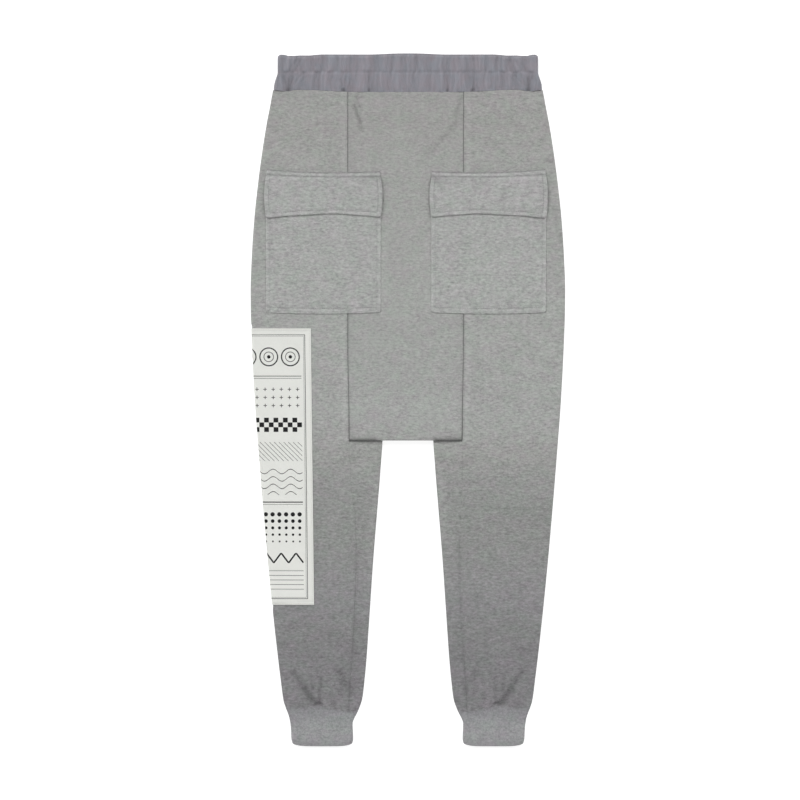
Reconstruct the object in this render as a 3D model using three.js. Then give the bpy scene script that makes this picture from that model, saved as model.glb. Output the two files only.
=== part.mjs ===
import * as THREE from 'three';
import { mergeVertices } from 'three/addons/utils/BufferGeometryUtils.js';

// Harem trousers with a box crotch, laid flat on a surface with their back side up.
// Millimetres. X runs across, Y up towards the waist, Z up from the surface.
// The tables are read from the waist down: down is the distance below the waist's top edge.
// from_middle and the like are distances from the garment's middle line, the same on both sides.

// Driving dimensions
const LENGTH = 1026;
const WAIST_SEAM = 58;
const CROTCH = 573.5;
const CUFF_SEAM = 966;

const SEAM_GAP = 0.3;
const FLEECE = 1.6;
const BAND_CLOTH = 2.5;
const CUFF_CLOTH = 2.6;
const FLAP_CLOTH = 2.4;
const PATCH_CLOTH = 1.0;

// The centre panel and the pockets are sewn a little to the left of the middle line.
const PANEL_SHIFT = -2.8;
const PANEL_HALF_AT_WAIST = 85.6;
const PANEL_HALF_AT_CROTCH = 83;

// How thick the garment lies
const BODY_HEIGHT = 6.5;
const ANKLE_HEIGHT = 7.0;
const ANKLE_LENGTH = 86;
const FOLD_HEIGHT = 5.4;
const BAND_HEIGHT = 8.1;
const CUFF_HEIGHT = 7.7;
const SIDE_SLOPE = 40;
const INSEAM_SLOPE = 28;

// The crotch end of the centre panel is tucked in between the legs, whose tops go into its mouth.
const TUCK_DEPTH = 38;
const TUCK_FOLD_GAP = 0.2;
const MOUTH_FLAT = 8;
const MOUTH_RISE = 75;
const LEG_INTO_MOUTH = 6;
const HELD_BELOW_MOUTH = 3.5;
const FREE_BELOW_MOUTH = 33;

// The leg's cloth rises towards the panel's crotch corner, on the back and underneath
const CORNER_HEIGHT = 9.5;
const CORNER_REACH = 28;
const CORNER_FROM_ABOVE = 73.5;
const CORNER_TO_BELOW = 40;
const UNDER_CORNER_REACH = 24;
const UNDER_CORNER_FROM_ABOVE = 40;
const UNDER_CORNER_FULL_ABOVE = 7;

// A seam sinks a little into the cloth on the back
const SEAM_GROOVE = 0.5;

// Pockets
const POCKET_WIDTH = 170;
const POCKET_FROM_MIDDLE = 122.2;
const POCKET_TOP = 192;
const POCKET_BOTTOM = 385;
const POCKET_SAG = 2;
const POCKET_FULLNESS = 1.1;
const POCKET_EDGE_SHARE = 0.18;
const POCKET_HEM_SHARE = 0.3;
const FLAP_WIDTH = 172;
const FLAP_TOP = 175;
const FLAP_BOTTOM = 243;
const FLAP_SAG = 3;
const FLAP_BULGE = 1.6;
const FLAP_RAMP_START = 14;
const FLAP_RAMP_END = 3;

// Patch round the outer side of the left leg
const PATCH_TOP = 408.6;
const PATCH_BOTTOM = 817.6;
const PATCH_WIDTH = 154;
const PATCH_EDGE_AT_TOP = 143.3;
const PATCH_EDGE_AT_BOTTOM = 138.6;
const PATCH_LIFT = PATCH_CLOTH + SEAM_GAP;
const PATCH_CLEAR = 1.5;
const PATCH_RAMP = 8;

// Waistband
const GATHERS = 26;
const COLUMNS_PER_GATHER = 4;
const GATHER_AT_TOP = 0.12;
const GATHER_AT_SEAM = 0.6;
const CHANNEL_STITCH = 30;
const CHANNEL_DEPTH = 0.7;
const CHANNEL_HALF = 2.2;
const PINCH_DEPTH = 1.1;
const PINCH_HALF = 3.5;
const PINCH_LENGTH = 14;
const PINCH_FULL_ABOVE = 3;
const BAND_EDGE_THINNER = 0.2;
const BAND_EDGE_ROUND = 5;
const BAND_SEAM_THINNER = 0.1;
const BAND_SEAM_ROUND = 8;
const BAND_PLAIN_SIDE = 12;
const EDGE_DIP = 4.4;
const EDGE_DIP_FROM_MIDDLE = 160;
const EDGE_DIP_HALF = 22;

// Cuffs
const CUFF_DIP = 8;
const CUFF_DIP_REACH = 45;
const CUFF_DIP_FADE = 30;
const CUFF_SEAM_THINNER = 0.08;
const CUFF_SEAM_ROUND = 12;
const CUFF_HEM_THINNER = 0.15;
const CUFF_HEM_ROUND = 7;

// Outer side of the waistband, legs and cuffs
const SIDE_OUTLINE = [
  { down: 0, from_middle: 190.5 },
  { down: 3.5, from_middle: 193.6 },
  { down: 30, from_middle: 194 },
  { down: 44, from_middle: 197.8 },
  { down: 58, from_middle: 201.6 },
  { down: 114, from_middle: 211.9 },
  { down: 203, from_middle: 223.8 },
  { down: 292, from_middle: 231.3 },
  { down: 351, from_middle: 233.9 },
  { down: 425, from_middle: 231.4 },
  { down: 514, from_middle: 226.9 },
  { down: 574, from_middle: 222.3 },
  { down: 663, from_middle: 215.2 },
  { down: 751, from_middle: 207.5 },
  { down: 840, from_middle: 198.6 },
  { down: 929, from_middle: 188.2 },
  { down: 965, from_middle: 183 },
  { down: 977, from_middle: 177.8 },
  { down: 995, from_middle: 173.6 },
  { down: 1019, from_middle: 172.7 },
  { down: 1024, from_middle: 171.2 },
  { down: 1026, from_middle: 167 },
];

// Inner side of the legs and cuffs
const INSIDE_OUTLINE = [
  { down: 560, from_middle: 37.2 },
  { down: 618, from_middle: 40.6 },
  { down: 663, from_middle: 44.2 },
  { down: 751, from_middle: 51.3 },
  { down: 840, from_middle: 57.3 },
  { down: 900, from_middle: 61.5 },
  { down: 929, from_middle: 64.5 },
  { down: 965, from_middle: 69.2 },
  { down: 977, from_middle: 76.3 },
  { down: 995, from_middle: 82 },
  { down: 1019, from_middle: 81 },
  { down: 1024, from_middle: 82.4 },
  { down: 1026, from_middle: 86.5 },
];

// The inseam lies on the back of the leg
const INSEAM = [
  { down: 574, from_middle: 83 },
  { down: 747, from_middle: 78.8 },
  { down: 811, from_middle: 82 },
  { down: 914, from_middle: 84.8 },
  { down: 966, from_middle: 88.5 },
];

// Creases pressed into the back of each leg where it is gathered into the cuff
const ANKLE_CREASES = [
  { start: 168, start_down: 916, end: 140, end_down: 957, half: 6.5, depth: 2.2 },
  { start: 139, start_down: 944, end: 136, end_down: 968, half: 6, depth: 2.0 },
  { start: 142, start_down: 921, end: 141, end_down: 943, half: 4.5, depth: 0.8 },
  { start: 129, start_down: 930, end: 131, end_down: 960, half: 5, depth: 1.2 },
  { start: 112, start_down: 948, end: 109, end_down: 966, half: 6, depth: 0.8 },
];

// Creases at the top of the centre panel, measured from the panel's own middle line
const PANEL_CREASES = [
  { start: -77, start_down: 79, end: -68, end_down: 105, half: 4, depth: 1.0 },
  { start: -68, start_down: 105, end: -67, end_down: 123, half: 5, depth: 0.5 },
  { start: 78.7, start_down: 89, end: 73.7, end_down: 114, half: 6, depth: 0.7 },
];

// Where the waistband is drawn in hardest above its seam
const PINCHES = [
  { x: -177 },
  { x: -94 },
  { x: -57 },
  { x: 58.5 },
  { x: 95.6 },
  { x: 178.6 },
];

const BACK_LEG_ROWS = [
  58, 70, 100, 150, 225, 292, 351, 398, 407, 440, 500, 530, 552, 567.5, 576, 584, 594, 612, 650,
  700, 760, 818, 828, 862, 895, 912, 924, 935, 946, 956, 966,
];
const FRONT_LEG_ROWS = [
  58, 110, 200, 292, 351, 398, 407, 460, 530, 548, 558, 567.5, 576, 584, 594, 612, 650, 700,
  760, 818, 828, 862, 912, 946, 966,
];
const POCKET_ROWS = [0, 0.04, 0.17, 0.34, 0.5, 0.66, 0.83, 0.96, 1];
const FLAP_ROWS = [0, 0.07, 0.16, 0.27, 0.5, 0.75, 0.93, 1];
const PATCH_ROWS = 13;
const BAND_ROWS = [0, 3, 26, 30, 34, 47, 58];
const CUFF_ROWS = [966, 971, 977, 985, 995, 1019, 1024, 1026];

const FLEECE_COLOUR = '#a0a2a0';
const POCKET_COLOUR = '#a6a7a5';
const BAND_COLOUR = '#89878e';
const CUFF_COLOUR = '#949596';
const PATCH_COLOUR = '#e2e3df';

// Small maths

function mix(a, b, share) {
  return a + (b - a) * share;
}

// 0 before start, 1 after end, and a soft rise between them
function rise(start, end, value) {
  const share = Math.min(1, Math.max(0, (value - start) / (end - start)));
  return share * share * (3 - 2 * share);
}

function bell(distance, half) {
  return Math.exp(-((distance / half) ** 2));
}

// The slope of a table at one of its rows, kept flat at a peak so that the curve never overshoots
function slopeAt(table, row) {
  if (row === 0 || row === table.length - 1) return 0;
  const before = table[row - 1];
  const here = table[row];
  const after = table[row + 1];
  const left = (here.from_middle - before.from_middle) / (here.down - before.down);
  const right = (after.from_middle - here.from_middle) / (after.down - here.down);
  return left * right > 0 ? (2 * left * right) / (left + right) : 0;
}

// A smooth curve through a table's rows
function outline(table, down) {
  const last = table.length - 1;
  if (down <= table[0].down) return table[0].from_middle;
  if (down >= table[last].down) return table[last].from_middle;
  const row = table.findIndex((entry) => entry.down > down) - 1;
  const a = table[row];
  const b = table[row + 1];
  const span = b.down - a.down;
  const t = (down - a.down) / span;
  const fromA = (1 + 2 * t) * (1 - t) ** 2 * a.from_middle + t * (1 - t) ** 2 * span * slopeAt(table, row);
  const fromB = t * t * (3 - 2 * t) * b.from_middle + t * t * (t - 1) * span * slopeAt(table, row + 1);
  return fromA + fromB;
}

// Depth of the troughs in a crease table at a place on the cloth
function creaseDepth(creases, across, down) {
  let depth = 0;
  for (const crease of creases) {
    const runX = crease.end - crease.start;
    const runY = crease.end_down - crease.start_down;
    const reach = (across - crease.start) * runX + (down - crease.start_down) * runY;
    const t = Math.min(1, Math.max(0, reach / (runX ** 2 + runY ** 2)));
    const offX = across - crease.start - t * runX;
    const offY = down - crease.start_down - t * runY;
    depth = Math.max(depth, crease.depth * bell(Math.hypot(offX, offY), crease.half));
  }
  return depth;
}

function heightToY(down) {
  return LENGTH / 2 - down;
}

// Walls of cloth

// A closed wall between an outer and an inner grid of points, over the cells that are in use.
// pointAt gives both points of a row and column. A ring's last column meets its first.
function wall(rowCount, columnCount, pointAt, { used = () => true, ring = false } = {}) {
  const grid = [];
  for (let row = 0; row < rowCount; row += 1) {
    grid.push([]);
    for (let column = 0; column < columnCount; column += 1) grid[row].push(pointAt(row, column));
  }
  const cellColumns = ring ? columnCount : columnCount - 1;
  const inUse = (row, column) => {
    if (row < 0 || row >= rowCount - 1) return false;
    if (!ring && (column < 0 || column >= cellColumns)) return false;
    return used(row, (column + cellColumns) % cellColumns);
  };
  const points = [];
  const quad = (a, b, c, d) => points.push(a, b, c, a, c, d);
  for (let row = 0; row < rowCount - 1; row += 1) {
    for (let column = 0; column < cellColumns; column += 1) {
      if (!inUse(row, column)) continue;
      const a = grid[row][column];
      const b = grid[row][(column + 1) % columnCount];
      const c = grid[row + 1][(column + 1) % columnCount];
      const d = grid[row + 1][column];
      quad(a.outer, b.outer, c.outer, d.outer);
      quad(d.inner, c.inner, b.inner, a.inner);
      if (!inUse(row - 1, column)) quad(b.outer, a.outer, a.inner, b.inner);
      if (!inUse(row, column + 1)) quad(c.outer, b.outer, b.inner, c.inner);
      if (!inUse(row + 1, column)) quad(d.outer, c.outer, c.inner, d.inner);
      if (!inUse(row, column - 1)) quad(a.outer, d.outer, d.inner, a.inner);
    }
  }
  return solidFrom(points);
}

// A geometry from a closed list of triangles, turned so that its faces point out
function solidFrom(points) {
  let volume = 0;
  for (let i = 0; i < points.length; i += 3) {
    const [a, b, c] = points.slice(i, i + 3).map((point) => new THREE.Vector3(...point));
    volume += a.dot(b.cross(c));
  }
  const facingOut = volume > 0 ? points : [...points].reverse();
  const triangles = new THREE.BufferGeometry();
  triangles.setAttribute('position', new THREE.Float32BufferAttribute(facingOut.flat(), 3));
  const geometry = mergeVertices(triangles, 1e-4);
  geometry.computeVertexNormals();
  return geometry;
}

// Both points of a wall from a place on its outer face: across and up, and which way is out
function through(place, side, down, thickness) {
  const y = heightToY(down);
  const outer = [side * place.across, y, place.up];
  const inner = [
    side * (place.across - thickness * place.outAcross),
    y,
    place.up - thickness * place.outUp,
  ];
  return { outer, inner };
}

// A place on the round of a fold, at an angle from straight out sideways
function onFold(fold, degrees) {
  const angle = THREE.MathUtils.degToRad(degrees);
  return {
    across: fold.across + fold.radius * Math.cos(angle),
    up: fold.up + fold.radius * Math.sin(angle),
    outAcross: Math.cos(angle),
    outUp: Math.sin(angle),
  };
}

function onTop(across, up) {
  return { across, up, outAcross: 0, outUp: 1 };
}

function onUnderside(across, up) {
  return { across, up, outAcross: 0, outUp: -1 };
}

// The lie of the legs. side is -1 for the left leg and 1 for the right one.

function panelHalf(down) {
  return mix(PANEL_HALF_AT_WAIST, PANEL_HALF_AT_CROTCH, rise(WAIST_SEAM, CROTCH, down));
}

// The seam along the centre panel, and below the crotch the inseam, from the middle line
function seamLine(side, down) {
  const panelSeam = panelHalf(down) + side * PANEL_SHIFT;
  return mix(panelSeam, outline(INSEAM, down), rise(CROTCH + 5, 700, down));
}

// How far the left leg stands off the surface to make room for its patch
function patchLift(side, down) {
  if (side > 0) return 0;
  const above = rise(PATCH_TOP - PATCH_CLEAR - PATCH_RAMP, PATCH_TOP - PATCH_CLEAR, down);
  const below = 1 - rise(PATCH_BOTTOM + PATCH_CLEAR, PATCH_BOTTOM + PATCH_CLEAR + PATCH_RAMP, down);
  return PATCH_LIFT * Math.min(above, below);
}

// The patch's edge on the back, from the middle line
function patchBackEdge(down) {
  return mix(PATCH_EDGE_AT_TOP, PATCH_EDGE_AT_BOTTOM, (down - PATCH_TOP) / (PATCH_BOTTOM - PATCH_TOP));
}

// The patch's other edge, on the front: what is left of its width once it has gone round the side
function patchUnderEdge(down) {
  const level = Math.min(PATCH_BOTTOM, Math.max(PATCH_TOP, down));
  return 2 * outline(SIDE_OUTLINE, level) - patchBackEdge(level) - PATCH_WIDTH;
}

// How far a leg is still held up, 1 to 0, by the tucked panel that it comes out of
function heldByMouth(down) {
  return 1 - rise(CROTCH + HELD_BELOW_MOUTH, CROTCH + FREE_BELOW_MOUTH, down);
}

// How near a level is to the crotch corner, 0 to 1
function nearCorner(down) {
  const above = rise(CROTCH - CORNER_FROM_ABOVE, CROTCH - HELD_BELOW_MOUTH, down);
  return above * (1 - rise(CROTCH + HELD_BELOW_MOUTH, CROTCH + CORNER_TO_BELOW, down));
}

function sideFold(side, down) {
  const lift = patchLift(side, down);
  const radius = (FOLD_HEIGHT - lift) / 2;
  return { across: outline(SIDE_OUTLINE, down) - lift - radius, up: lift + radius, radius };
}

const EXTENSION_LOW = 2 * (FLEECE + SEAM_GAP);
const EXTENSION_HIGH = EXTENSION_LOW + 2 * FLEECE + SEAM_GAP;

function insideFold(down) {
  const held = heldByMouth(down);
  const low = EXTENSION_LOW * held;
  const high = mix(FOLD_HEIGHT, EXTENSION_HIGH, held);
  const radius = (high - low) / 2;
  return { across: outline(INSIDE_OUTLINE, down) + radius, up: low + radius, radius };
}

// The cloth's height on the back, without the seams' grooves
function backHeight(side, across, down) {
  const fromSide = sideFold(side, down).across - across;
  const full = mix(BODY_HEIGHT, ANKLE_HEIGHT, rise(CUFF_SEAM - ANKLE_LENGTH, CUFF_SEAM, down));
  let height = full - (full - FOLD_HEIGHT) * (1 - rise(0, SIDE_SLOPE, fromSide));
  if (down > CROTCH) {
    const fromInside = across - insideFold(down).across;
    height -= (full - FOLD_HEIGHT) * (1 - rise(0, INSEAM_SLOPE, fromInside));
  }
  const nearSeam = 1 - rise(0, CORNER_REACH, across - seamLine(side, down));
  height += (CORNER_HEIGHT - BODY_HEIGHT) * nearCorner(down) * nearSeam;
  return height - creaseDepth(ANKLE_CREASES, across, down);
}

// The lowest face of the leg: on the surface, over the patch, or up in the mouth of the tuck
function underHeight(side, across, down) {
  const edge = patchUnderEdge(down);
  const overPatch = patchLift(side, down) * rise(edge - PATCH_RAMP, edge - PATCH_CLEAR, across);
  const above = rise(CROTCH - UNDER_CORNER_FROM_ABOVE, CROTCH - UNDER_CORNER_FULL_ABOVE, down);
  const nearMouth = above * heldByMouth(down);
  const nearSeam = 1 - rise(0, UNDER_CORNER_REACH, across - seamLine(side, down));
  return Math.max(overPatch, EXTENSION_LOW * nearMouth * nearSeam);
}

// The leg's extension inside the mouth is flat. Further down it lies like the rest of the leg.
function extensionHeight(side, across, down) {
  const seam = seamLine(side, down);
  const free = backHeight(side, Math.min(across, seam), down);
  const withoutCorner = free - (CORNER_HEIGHT - BODY_HEIGHT) * nearCorner(down);
  return mix(withoutCorner, EXTENSION_HIGH, heldByMouth(down));
}

// The leg's rows sink towards the cuff on its inner side
function cuffDip(across, down) {
  const inner = outline(INSIDE_OUTLINE, CUFF_SEAM);
  const outer = outline(SIDE_OUTLINE, CUFF_SEAM);
  const share = (across - inner) / (outer - inner);
  const above = rise(CUFF_SEAM - CUFF_DIP_REACH, CUFF_SEAM - SEAM_GAP, down);
  const below = 1 - rise(CUFF_SEAM + SEAM_GAP, CUFF_SEAM + CUFF_DIP_FADE, down);
  return CUFF_DIP * (1 - share) * Math.min(above, below);
}

function dipped(points, across, down) {
  const dip = cuffDip(across, down);
  points.outer[1] -= dip;
  points.inner[1] -= dip;
  return points;
}

// Rows keep half a seam gap clear of the waist seam and the cuff seam
function trimmed(down) {
  return Math.min(CUFF_SEAM - SEAM_GAP / 2, Math.max(WAIST_SEAM + SEAM_GAP / 2, down));
}

// The back of a leg, from the side seam over to the panel seam and the inseam
const BACK_FOLD_ANGLES = [4, 34, 62, 90];
const BACK_SHARES = [0.07, 0.17, 0.27, 0.34, 0.4, 0.46, 0.52, 0.6, 0.7, 0.82, 0.94, 1];

function backLeg(side) {
  const columns = BACK_FOLD_ANGLES.length + BACK_SHARES.length;
  return wall(BACK_LEG_ROWS.length, columns, (row, column) => {
    const down = trimmed(BACK_LEG_ROWS[row]);
    const fold = sideFold(side, down);
    if (column < BACK_FOLD_ANGLES.length) {
      const place = onFold(fold, BACK_FOLD_ANGLES[column]);
      return dipped(through(place, side, down, FLEECE), place.across, down);
    }
    const share = BACK_SHARES[column - BACK_FOLD_ANGLES.length];
    const across = mix(fold.across, seamLine(side, down) + SEAM_GAP / 2, share);
    const groove = share === 1 ? SEAM_GROOVE : 0;
    const place = onTop(across, backHeight(side, across, down) - groove);
    return dipped(through(place, side, down, FLEECE), across, down);
  });
}

// The front of a leg lies underneath. Below the crotch it goes round the inner side of the leg, as
// the crotch extension, and up to the inseam.
const FRONT_FOLD_ANGLES = [-4, -34, -62, -90];
const FRONT_SHARES = [0.4, 0.75, 1];
const EXTENSION_UNDER_SHARES = [0.5, 1];
const INSIDE_FOLD_ANGLES = [-120, -150, -180, -210, -240, -270];
const EXTENSION_BACK_SHARES = [0.25, 0.55, 0.88, 1];

function frontLeg(side) {
  const placesAt = (down) => {
    const fold = sideFold(side, down);
    const seam = seamLine(side, down);
    const inside = insideFold(down);
    const edge = patchUnderEdge(down);
    const under = (across) => onUnderside(across, underHeight(side, across, down));
    const places = FRONT_FOLD_ANGLES.map((angle) => onFold(fold, angle));
    places.push(under(mix(fold.across, edge, 0.5)), under(edge - PATCH_CLEAR), under(edge - PATCH_RAMP));
    for (const share of FRONT_SHARES) {
      places.push(under(mix(edge - PATCH_RAMP, seam + SEAM_GAP / 2, share)));
    }
    if (down < CROTCH - LEG_INTO_MOUTH) return places;
    const low = inside.up - inside.radius;
    for (const share of EXTENSION_UNDER_SHARES) {
      places.push(onUnderside(mix(seam, inside.across, share), low));
    }
    for (const angle of INSIDE_FOLD_ANGLES) {
      places.push(onFold(inside, angle));
    }
    for (const share of EXTENSION_BACK_SHARES) {
      const across = mix(inside.across, seam - SEAM_GAP / 2, share);
      const groove = share === 1 ? SEAM_GROOVE * (1 - heldByMouth(down)) : 0;
      places.push(onTop(across, extensionHeight(side, across, down) - groove));
    }
    return places;
  };
  const rows = FRONT_LEG_ROWS.map(trimmed).map((down) => ({ down, places: placesAt(down) }));
  const columns = Math.max(...rows.map((row) => row.places.length));
  const used = (row, column) => column + 1 < rows[row].places.length;
  return wall(rows.length, columns, (row, column) => {
    const { down, places } = rows[row];
    const place = places[Math.min(column, places.length - 1)];
    return dipped(through(place, side, down, FLEECE), place.across, down);
  }, { used });
}

// The centre panel: down the back, folded in at the crotch, out again, and up the front.

const PANEL_BACK_ROWS = [58, 70, 82, 93, 104, 116, 130, 160, 230, 300, 370, 440, 500, 530, 550, 562];
const PANEL_FRONT_ROWS = [540, 450, 250, 58];
const LIP_ANGLES = [90, 135, 180, 225, 270];
const TUCK_ROWS = [8, 19, 30];
const TUCK_ANGLES = [90, 45, 0, -45, -90];

// Six layers lie on each other at the mouth: the panel's front, its lower run, the leg's two, its
// upper run and its back.
const MOUTH_TOP = 6 * FLEECE + 5 * SEAM_GAP;
const UPPER_RUN = MOUTH_TOP - 2 * FLEECE - SEAM_GAP;
const LOWER_RUN = 2 * FLEECE + SEAM_GAP;
const TUCK_FOLD_UP = LOWER_RUN + 2 * TUCK_FOLD_GAP;

function panelBackHeight(across, y) {
  const tucked = 1 - rise(MOUTH_FLAT, MOUTH_RISE, y - heightToY(CROTCH));
  const height = mix(BODY_HEIGHT, MOUTH_TOP, tucked);
  return height - creaseDepth(PANEL_CREASES, across, LENGTH / 2 - y);
}

// Places along the panel's length: y, height and which way is out, for a distance across it
function panelPlaces() {
  const places = [];
  const flat = (y, up, outUp) => places.push({ y, up, outY: 0, outUp });
  const round = (y, up, radius, degrees, inward) => {
    const angle = THREE.MathUtils.degToRad(degrees);
    const outY = Math.cos(angle);
    const outUp = Math.sin(angle);
    const turn = inward ? -1 : 1;
    places.push({ y: y + radius * outY, up: up + radius * outUp, outY: turn * outY, outUp: turn * outUp });
  };
  const mouth = heightToY(CROTCH);
  const lip = FLEECE + SEAM_GAP / 2;
  const lowered = (inside) => rise(MOUTH_FLAT, TUCK_DEPTH, inside);
  for (const down of PANEL_BACK_ROWS) flat(heightToY(trimmed(down)), null, 1);
  for (const angle of LIP_ANGLES) round(mouth + lip, MOUTH_TOP - lip, lip, angle, false);
  for (const inside of TUCK_ROWS) {
    flat(mouth + inside, mix(UPPER_RUN, TUCK_FOLD_UP + TUCK_FOLD_GAP, lowered(inside)), -1);
  }
  for (const angle of TUCK_ANGLES) round(mouth + TUCK_DEPTH, TUCK_FOLD_UP, TUCK_FOLD_GAP, angle, true);
  for (const inside of [...TUCK_ROWS].reverse()) {
    flat(mouth + inside, mix(LOWER_RUN, TUCK_FOLD_UP - TUCK_FOLD_GAP, lowered(inside)), 1);
  }
  for (const angle of LIP_ANGLES) round(mouth + lip, lip, lip, angle, false);
  for (const down of PANEL_FRONT_ROWS) flat(heightToY(trimmed(down)), 0, -1);
  return places;
}

const PANEL_SHARES = [-1, -0.96, -0.9, -0.84, -0.78, -0.7, -0.2, 0.35, 0.78, 0.87, 0.95, 1];

function centrePanel() {
  const places = panelPlaces();
  return wall(places.length, PANEL_SHARES.length, (row, column) => {
    const place = places[row];
    const half = panelHalf(LENGTH / 2 - place.y) - SEAM_GAP / 2;
    const across = PANEL_SHARES[column] * half;
    const groove = Math.abs(PANEL_SHARES[column]) === 1 && place.up === null ? SEAM_GROOVE : 0;
    const up = (place.up ?? panelBackHeight(across, place.y)) - groove;
    const x = PANEL_SHIFT + across;
    const inner = [x, place.y - FLEECE * place.outY, up - FLEECE * place.outUp];
    return { outer: [x, place.y, up], inner };
  });
}

// Pockets and flaps lie on the back and follow its height.

// The height of the cloth that a pocket lies on, at x and y
function clothUnder(x, y) {
  const side = Math.sign(x);
  return backHeight(side, Math.abs(x), LENGTH / 2 - y);
}

// The top face of a pocket, which stands a little full between its sewn edges
function pocketHeight(x, y, middle) {
  const fromEdge = 0.5 - Math.abs(x - middle) / POCKET_WIDTH;
  const fromHem = 1 - (LENGTH / 2 - y - POCKET_TOP) / (POCKET_BOTTOM - POCKET_TOP);
  const full = rise(0, POCKET_EDGE_SHARE, fromEdge) * rise(0, POCKET_HEM_SHARE, fromHem);
  return clothUnder(x, y) + SEAM_GAP + FLEECE + POCKET_FULLNESS * full;
}

const POCKET_COLUMNS = [0, 0.03, 0.1, 0.19, 0.35, 0.5, 0.65, 0.81, 0.9, 0.97, 1];

function pocket(side) {
  const middle = side * POCKET_FROM_MIDDLE + PANEL_SHIFT;
  return wall(POCKET_ROWS.length, POCKET_COLUMNS.length, (row, column) => {
    const share = POCKET_COLUMNS[column];
    const sag = POCKET_SAG * Math.sin(Math.PI * share);
    const x = middle + POCKET_WIDTH * (share - 0.5);
    const y = heightToY(mix(POCKET_TOP, POCKET_BOTTOM + sag, POCKET_ROWS[row]));
    const up = pocketHeight(x, y, middle);
    return { outer: [x, y, up], inner: [x, y, up - FLEECE] };
  });
}

function flap(side) {
  const middle = side * POCKET_FROM_MIDDLE + PANEL_SHIFT;
  return wall(FLAP_ROWS.length, POCKET_COLUMNS.length, (row, column) => {
    const share = POCKET_COLUMNS[column];
    const drop = FLAP_ROWS[row];
    const sag = FLAP_SAG * Math.sin(Math.PI * share);
    const down = mix(FLAP_TOP + sag, FLAP_BOTTOM - sag, drop);
    const width = FLAP_WIDTH + 2 * FLAP_BULGE * Math.sin(Math.PI * drop);
    const x = middle + width * (share - 0.5);
    const y = heightToY(down);
    const overPocket = rise(POCKET_TOP - FLAP_RAMP_START, POCKET_TOP - FLAP_RAMP_END, down);
    const low = mix(clothUnder(x, y), pocketHeight(x, y, middle), overPocket) + SEAM_GAP;
    return { outer: [x, y, low + FLAP_CLOTH], inner: [x, y, low] };
  });
}

// The patch goes from the back of the left leg round its outer side to the front.
const PATCH_BACK_SHARES = [0, 0.35, 0.7];
const PATCH_FOLD_ANGLES = [90, 60, 30, 0, -30, -60, -90];
const PATCH_FRONT_SHARES = [0.3, 0.65, 1];

function patch() {
  const side = -1;
  const columns = PATCH_BACK_SHARES.length + PATCH_FOLD_ANGLES.length + PATCH_FRONT_SHARES.length;
  return wall(PATCH_ROWS, columns, (row, column) => {
    const down = mix(PATCH_TOP, PATCH_BOTTOM, row / (PATCH_ROWS - 1));
    const fold = sideFold(side, down);
    const wider = { ...fold, radius: fold.radius + PATCH_LIFT };
    const places = PATCH_BACK_SHARES.map((part) => {
      const across = mix(patchBackEdge(down), fold.across, part);
      return onTop(across, backHeight(side, across, down) + PATCH_LIFT);
    });
    for (const angle of PATCH_FOLD_ANGLES) places.push(onFold(wider, angle));
    for (const part of PATCH_FRONT_SHARES) {
      places.push(onUnderside(mix(fold.across, patchUnderEdge(down), part), 0));
    }
    return through(places[column], side, down, PATCH_CLOTH);
  });
}

// A flat ring of cloth, as a waistband and a cuff are, between an inner and an outer fold
const RING_FOLD_ANGLES = [-90, -45, 0, 45];

function ringPlace(step, topCount, underCount, left, right, height, topAt) {
  const folds = RING_FOLD_ANGLES.length;
  const radius = height / 2;
  if (step < folds) {
    return onFold({ across: right - radius, up: radius, radius }, RING_FOLD_ANGLES[step]);
  }
  if (step < folds + topCount) {
    const across = mix(right - radius, left + radius, (step - folds) / topCount);
    return onTop(across, topAt(across));
  }
  if (step < 2 * folds + topCount) {
    const angle = 180 + RING_FOLD_ANGLES[step - folds - topCount];
    return onFold({ across: left + radius, up: radius, radius }, angle);
  }
  const share = (step - 2 * folds - topCount) / underCount;
  return onUnderside(mix(left + radius, right - radius, share), 0);
}

// The waistband is drawn up by its elastic: the gathers are deepest above the seam and fade upwards.
// Slow waves in their spacing and depth keep them uneven.
function bandGathers(x, down) {
  const share = x / outline(SIDE_OUTLINE, down);
  const turn = GATHERS * Math.PI * (share + 0.012 * Math.sin(9 * share) + 0.008 * Math.cos(17 * share));
  const size = mix(GATHER_AT_TOP, GATHER_AT_SEAM, rise(0, WAIST_SEAM, down));
  const uneven = 0.75 + 0.25 * Math.sin(6.1 * share + 0.7);
  let pinch = 0;
  for (const { x: at } of PINCHES) {
    pinch = Math.max(pinch, bell(x - at, PINCH_HALF));
  }
  const low = rise(WAIST_SEAM - PINCH_LENGTH, WAIST_SEAM - PINCH_FULL_ABOVE, down);
  return size * uneven * Math.cos(turn) - PINCH_DEPTH * pinch * low;
}

const BAND_UNDER_COLUMNS = 12;

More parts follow.
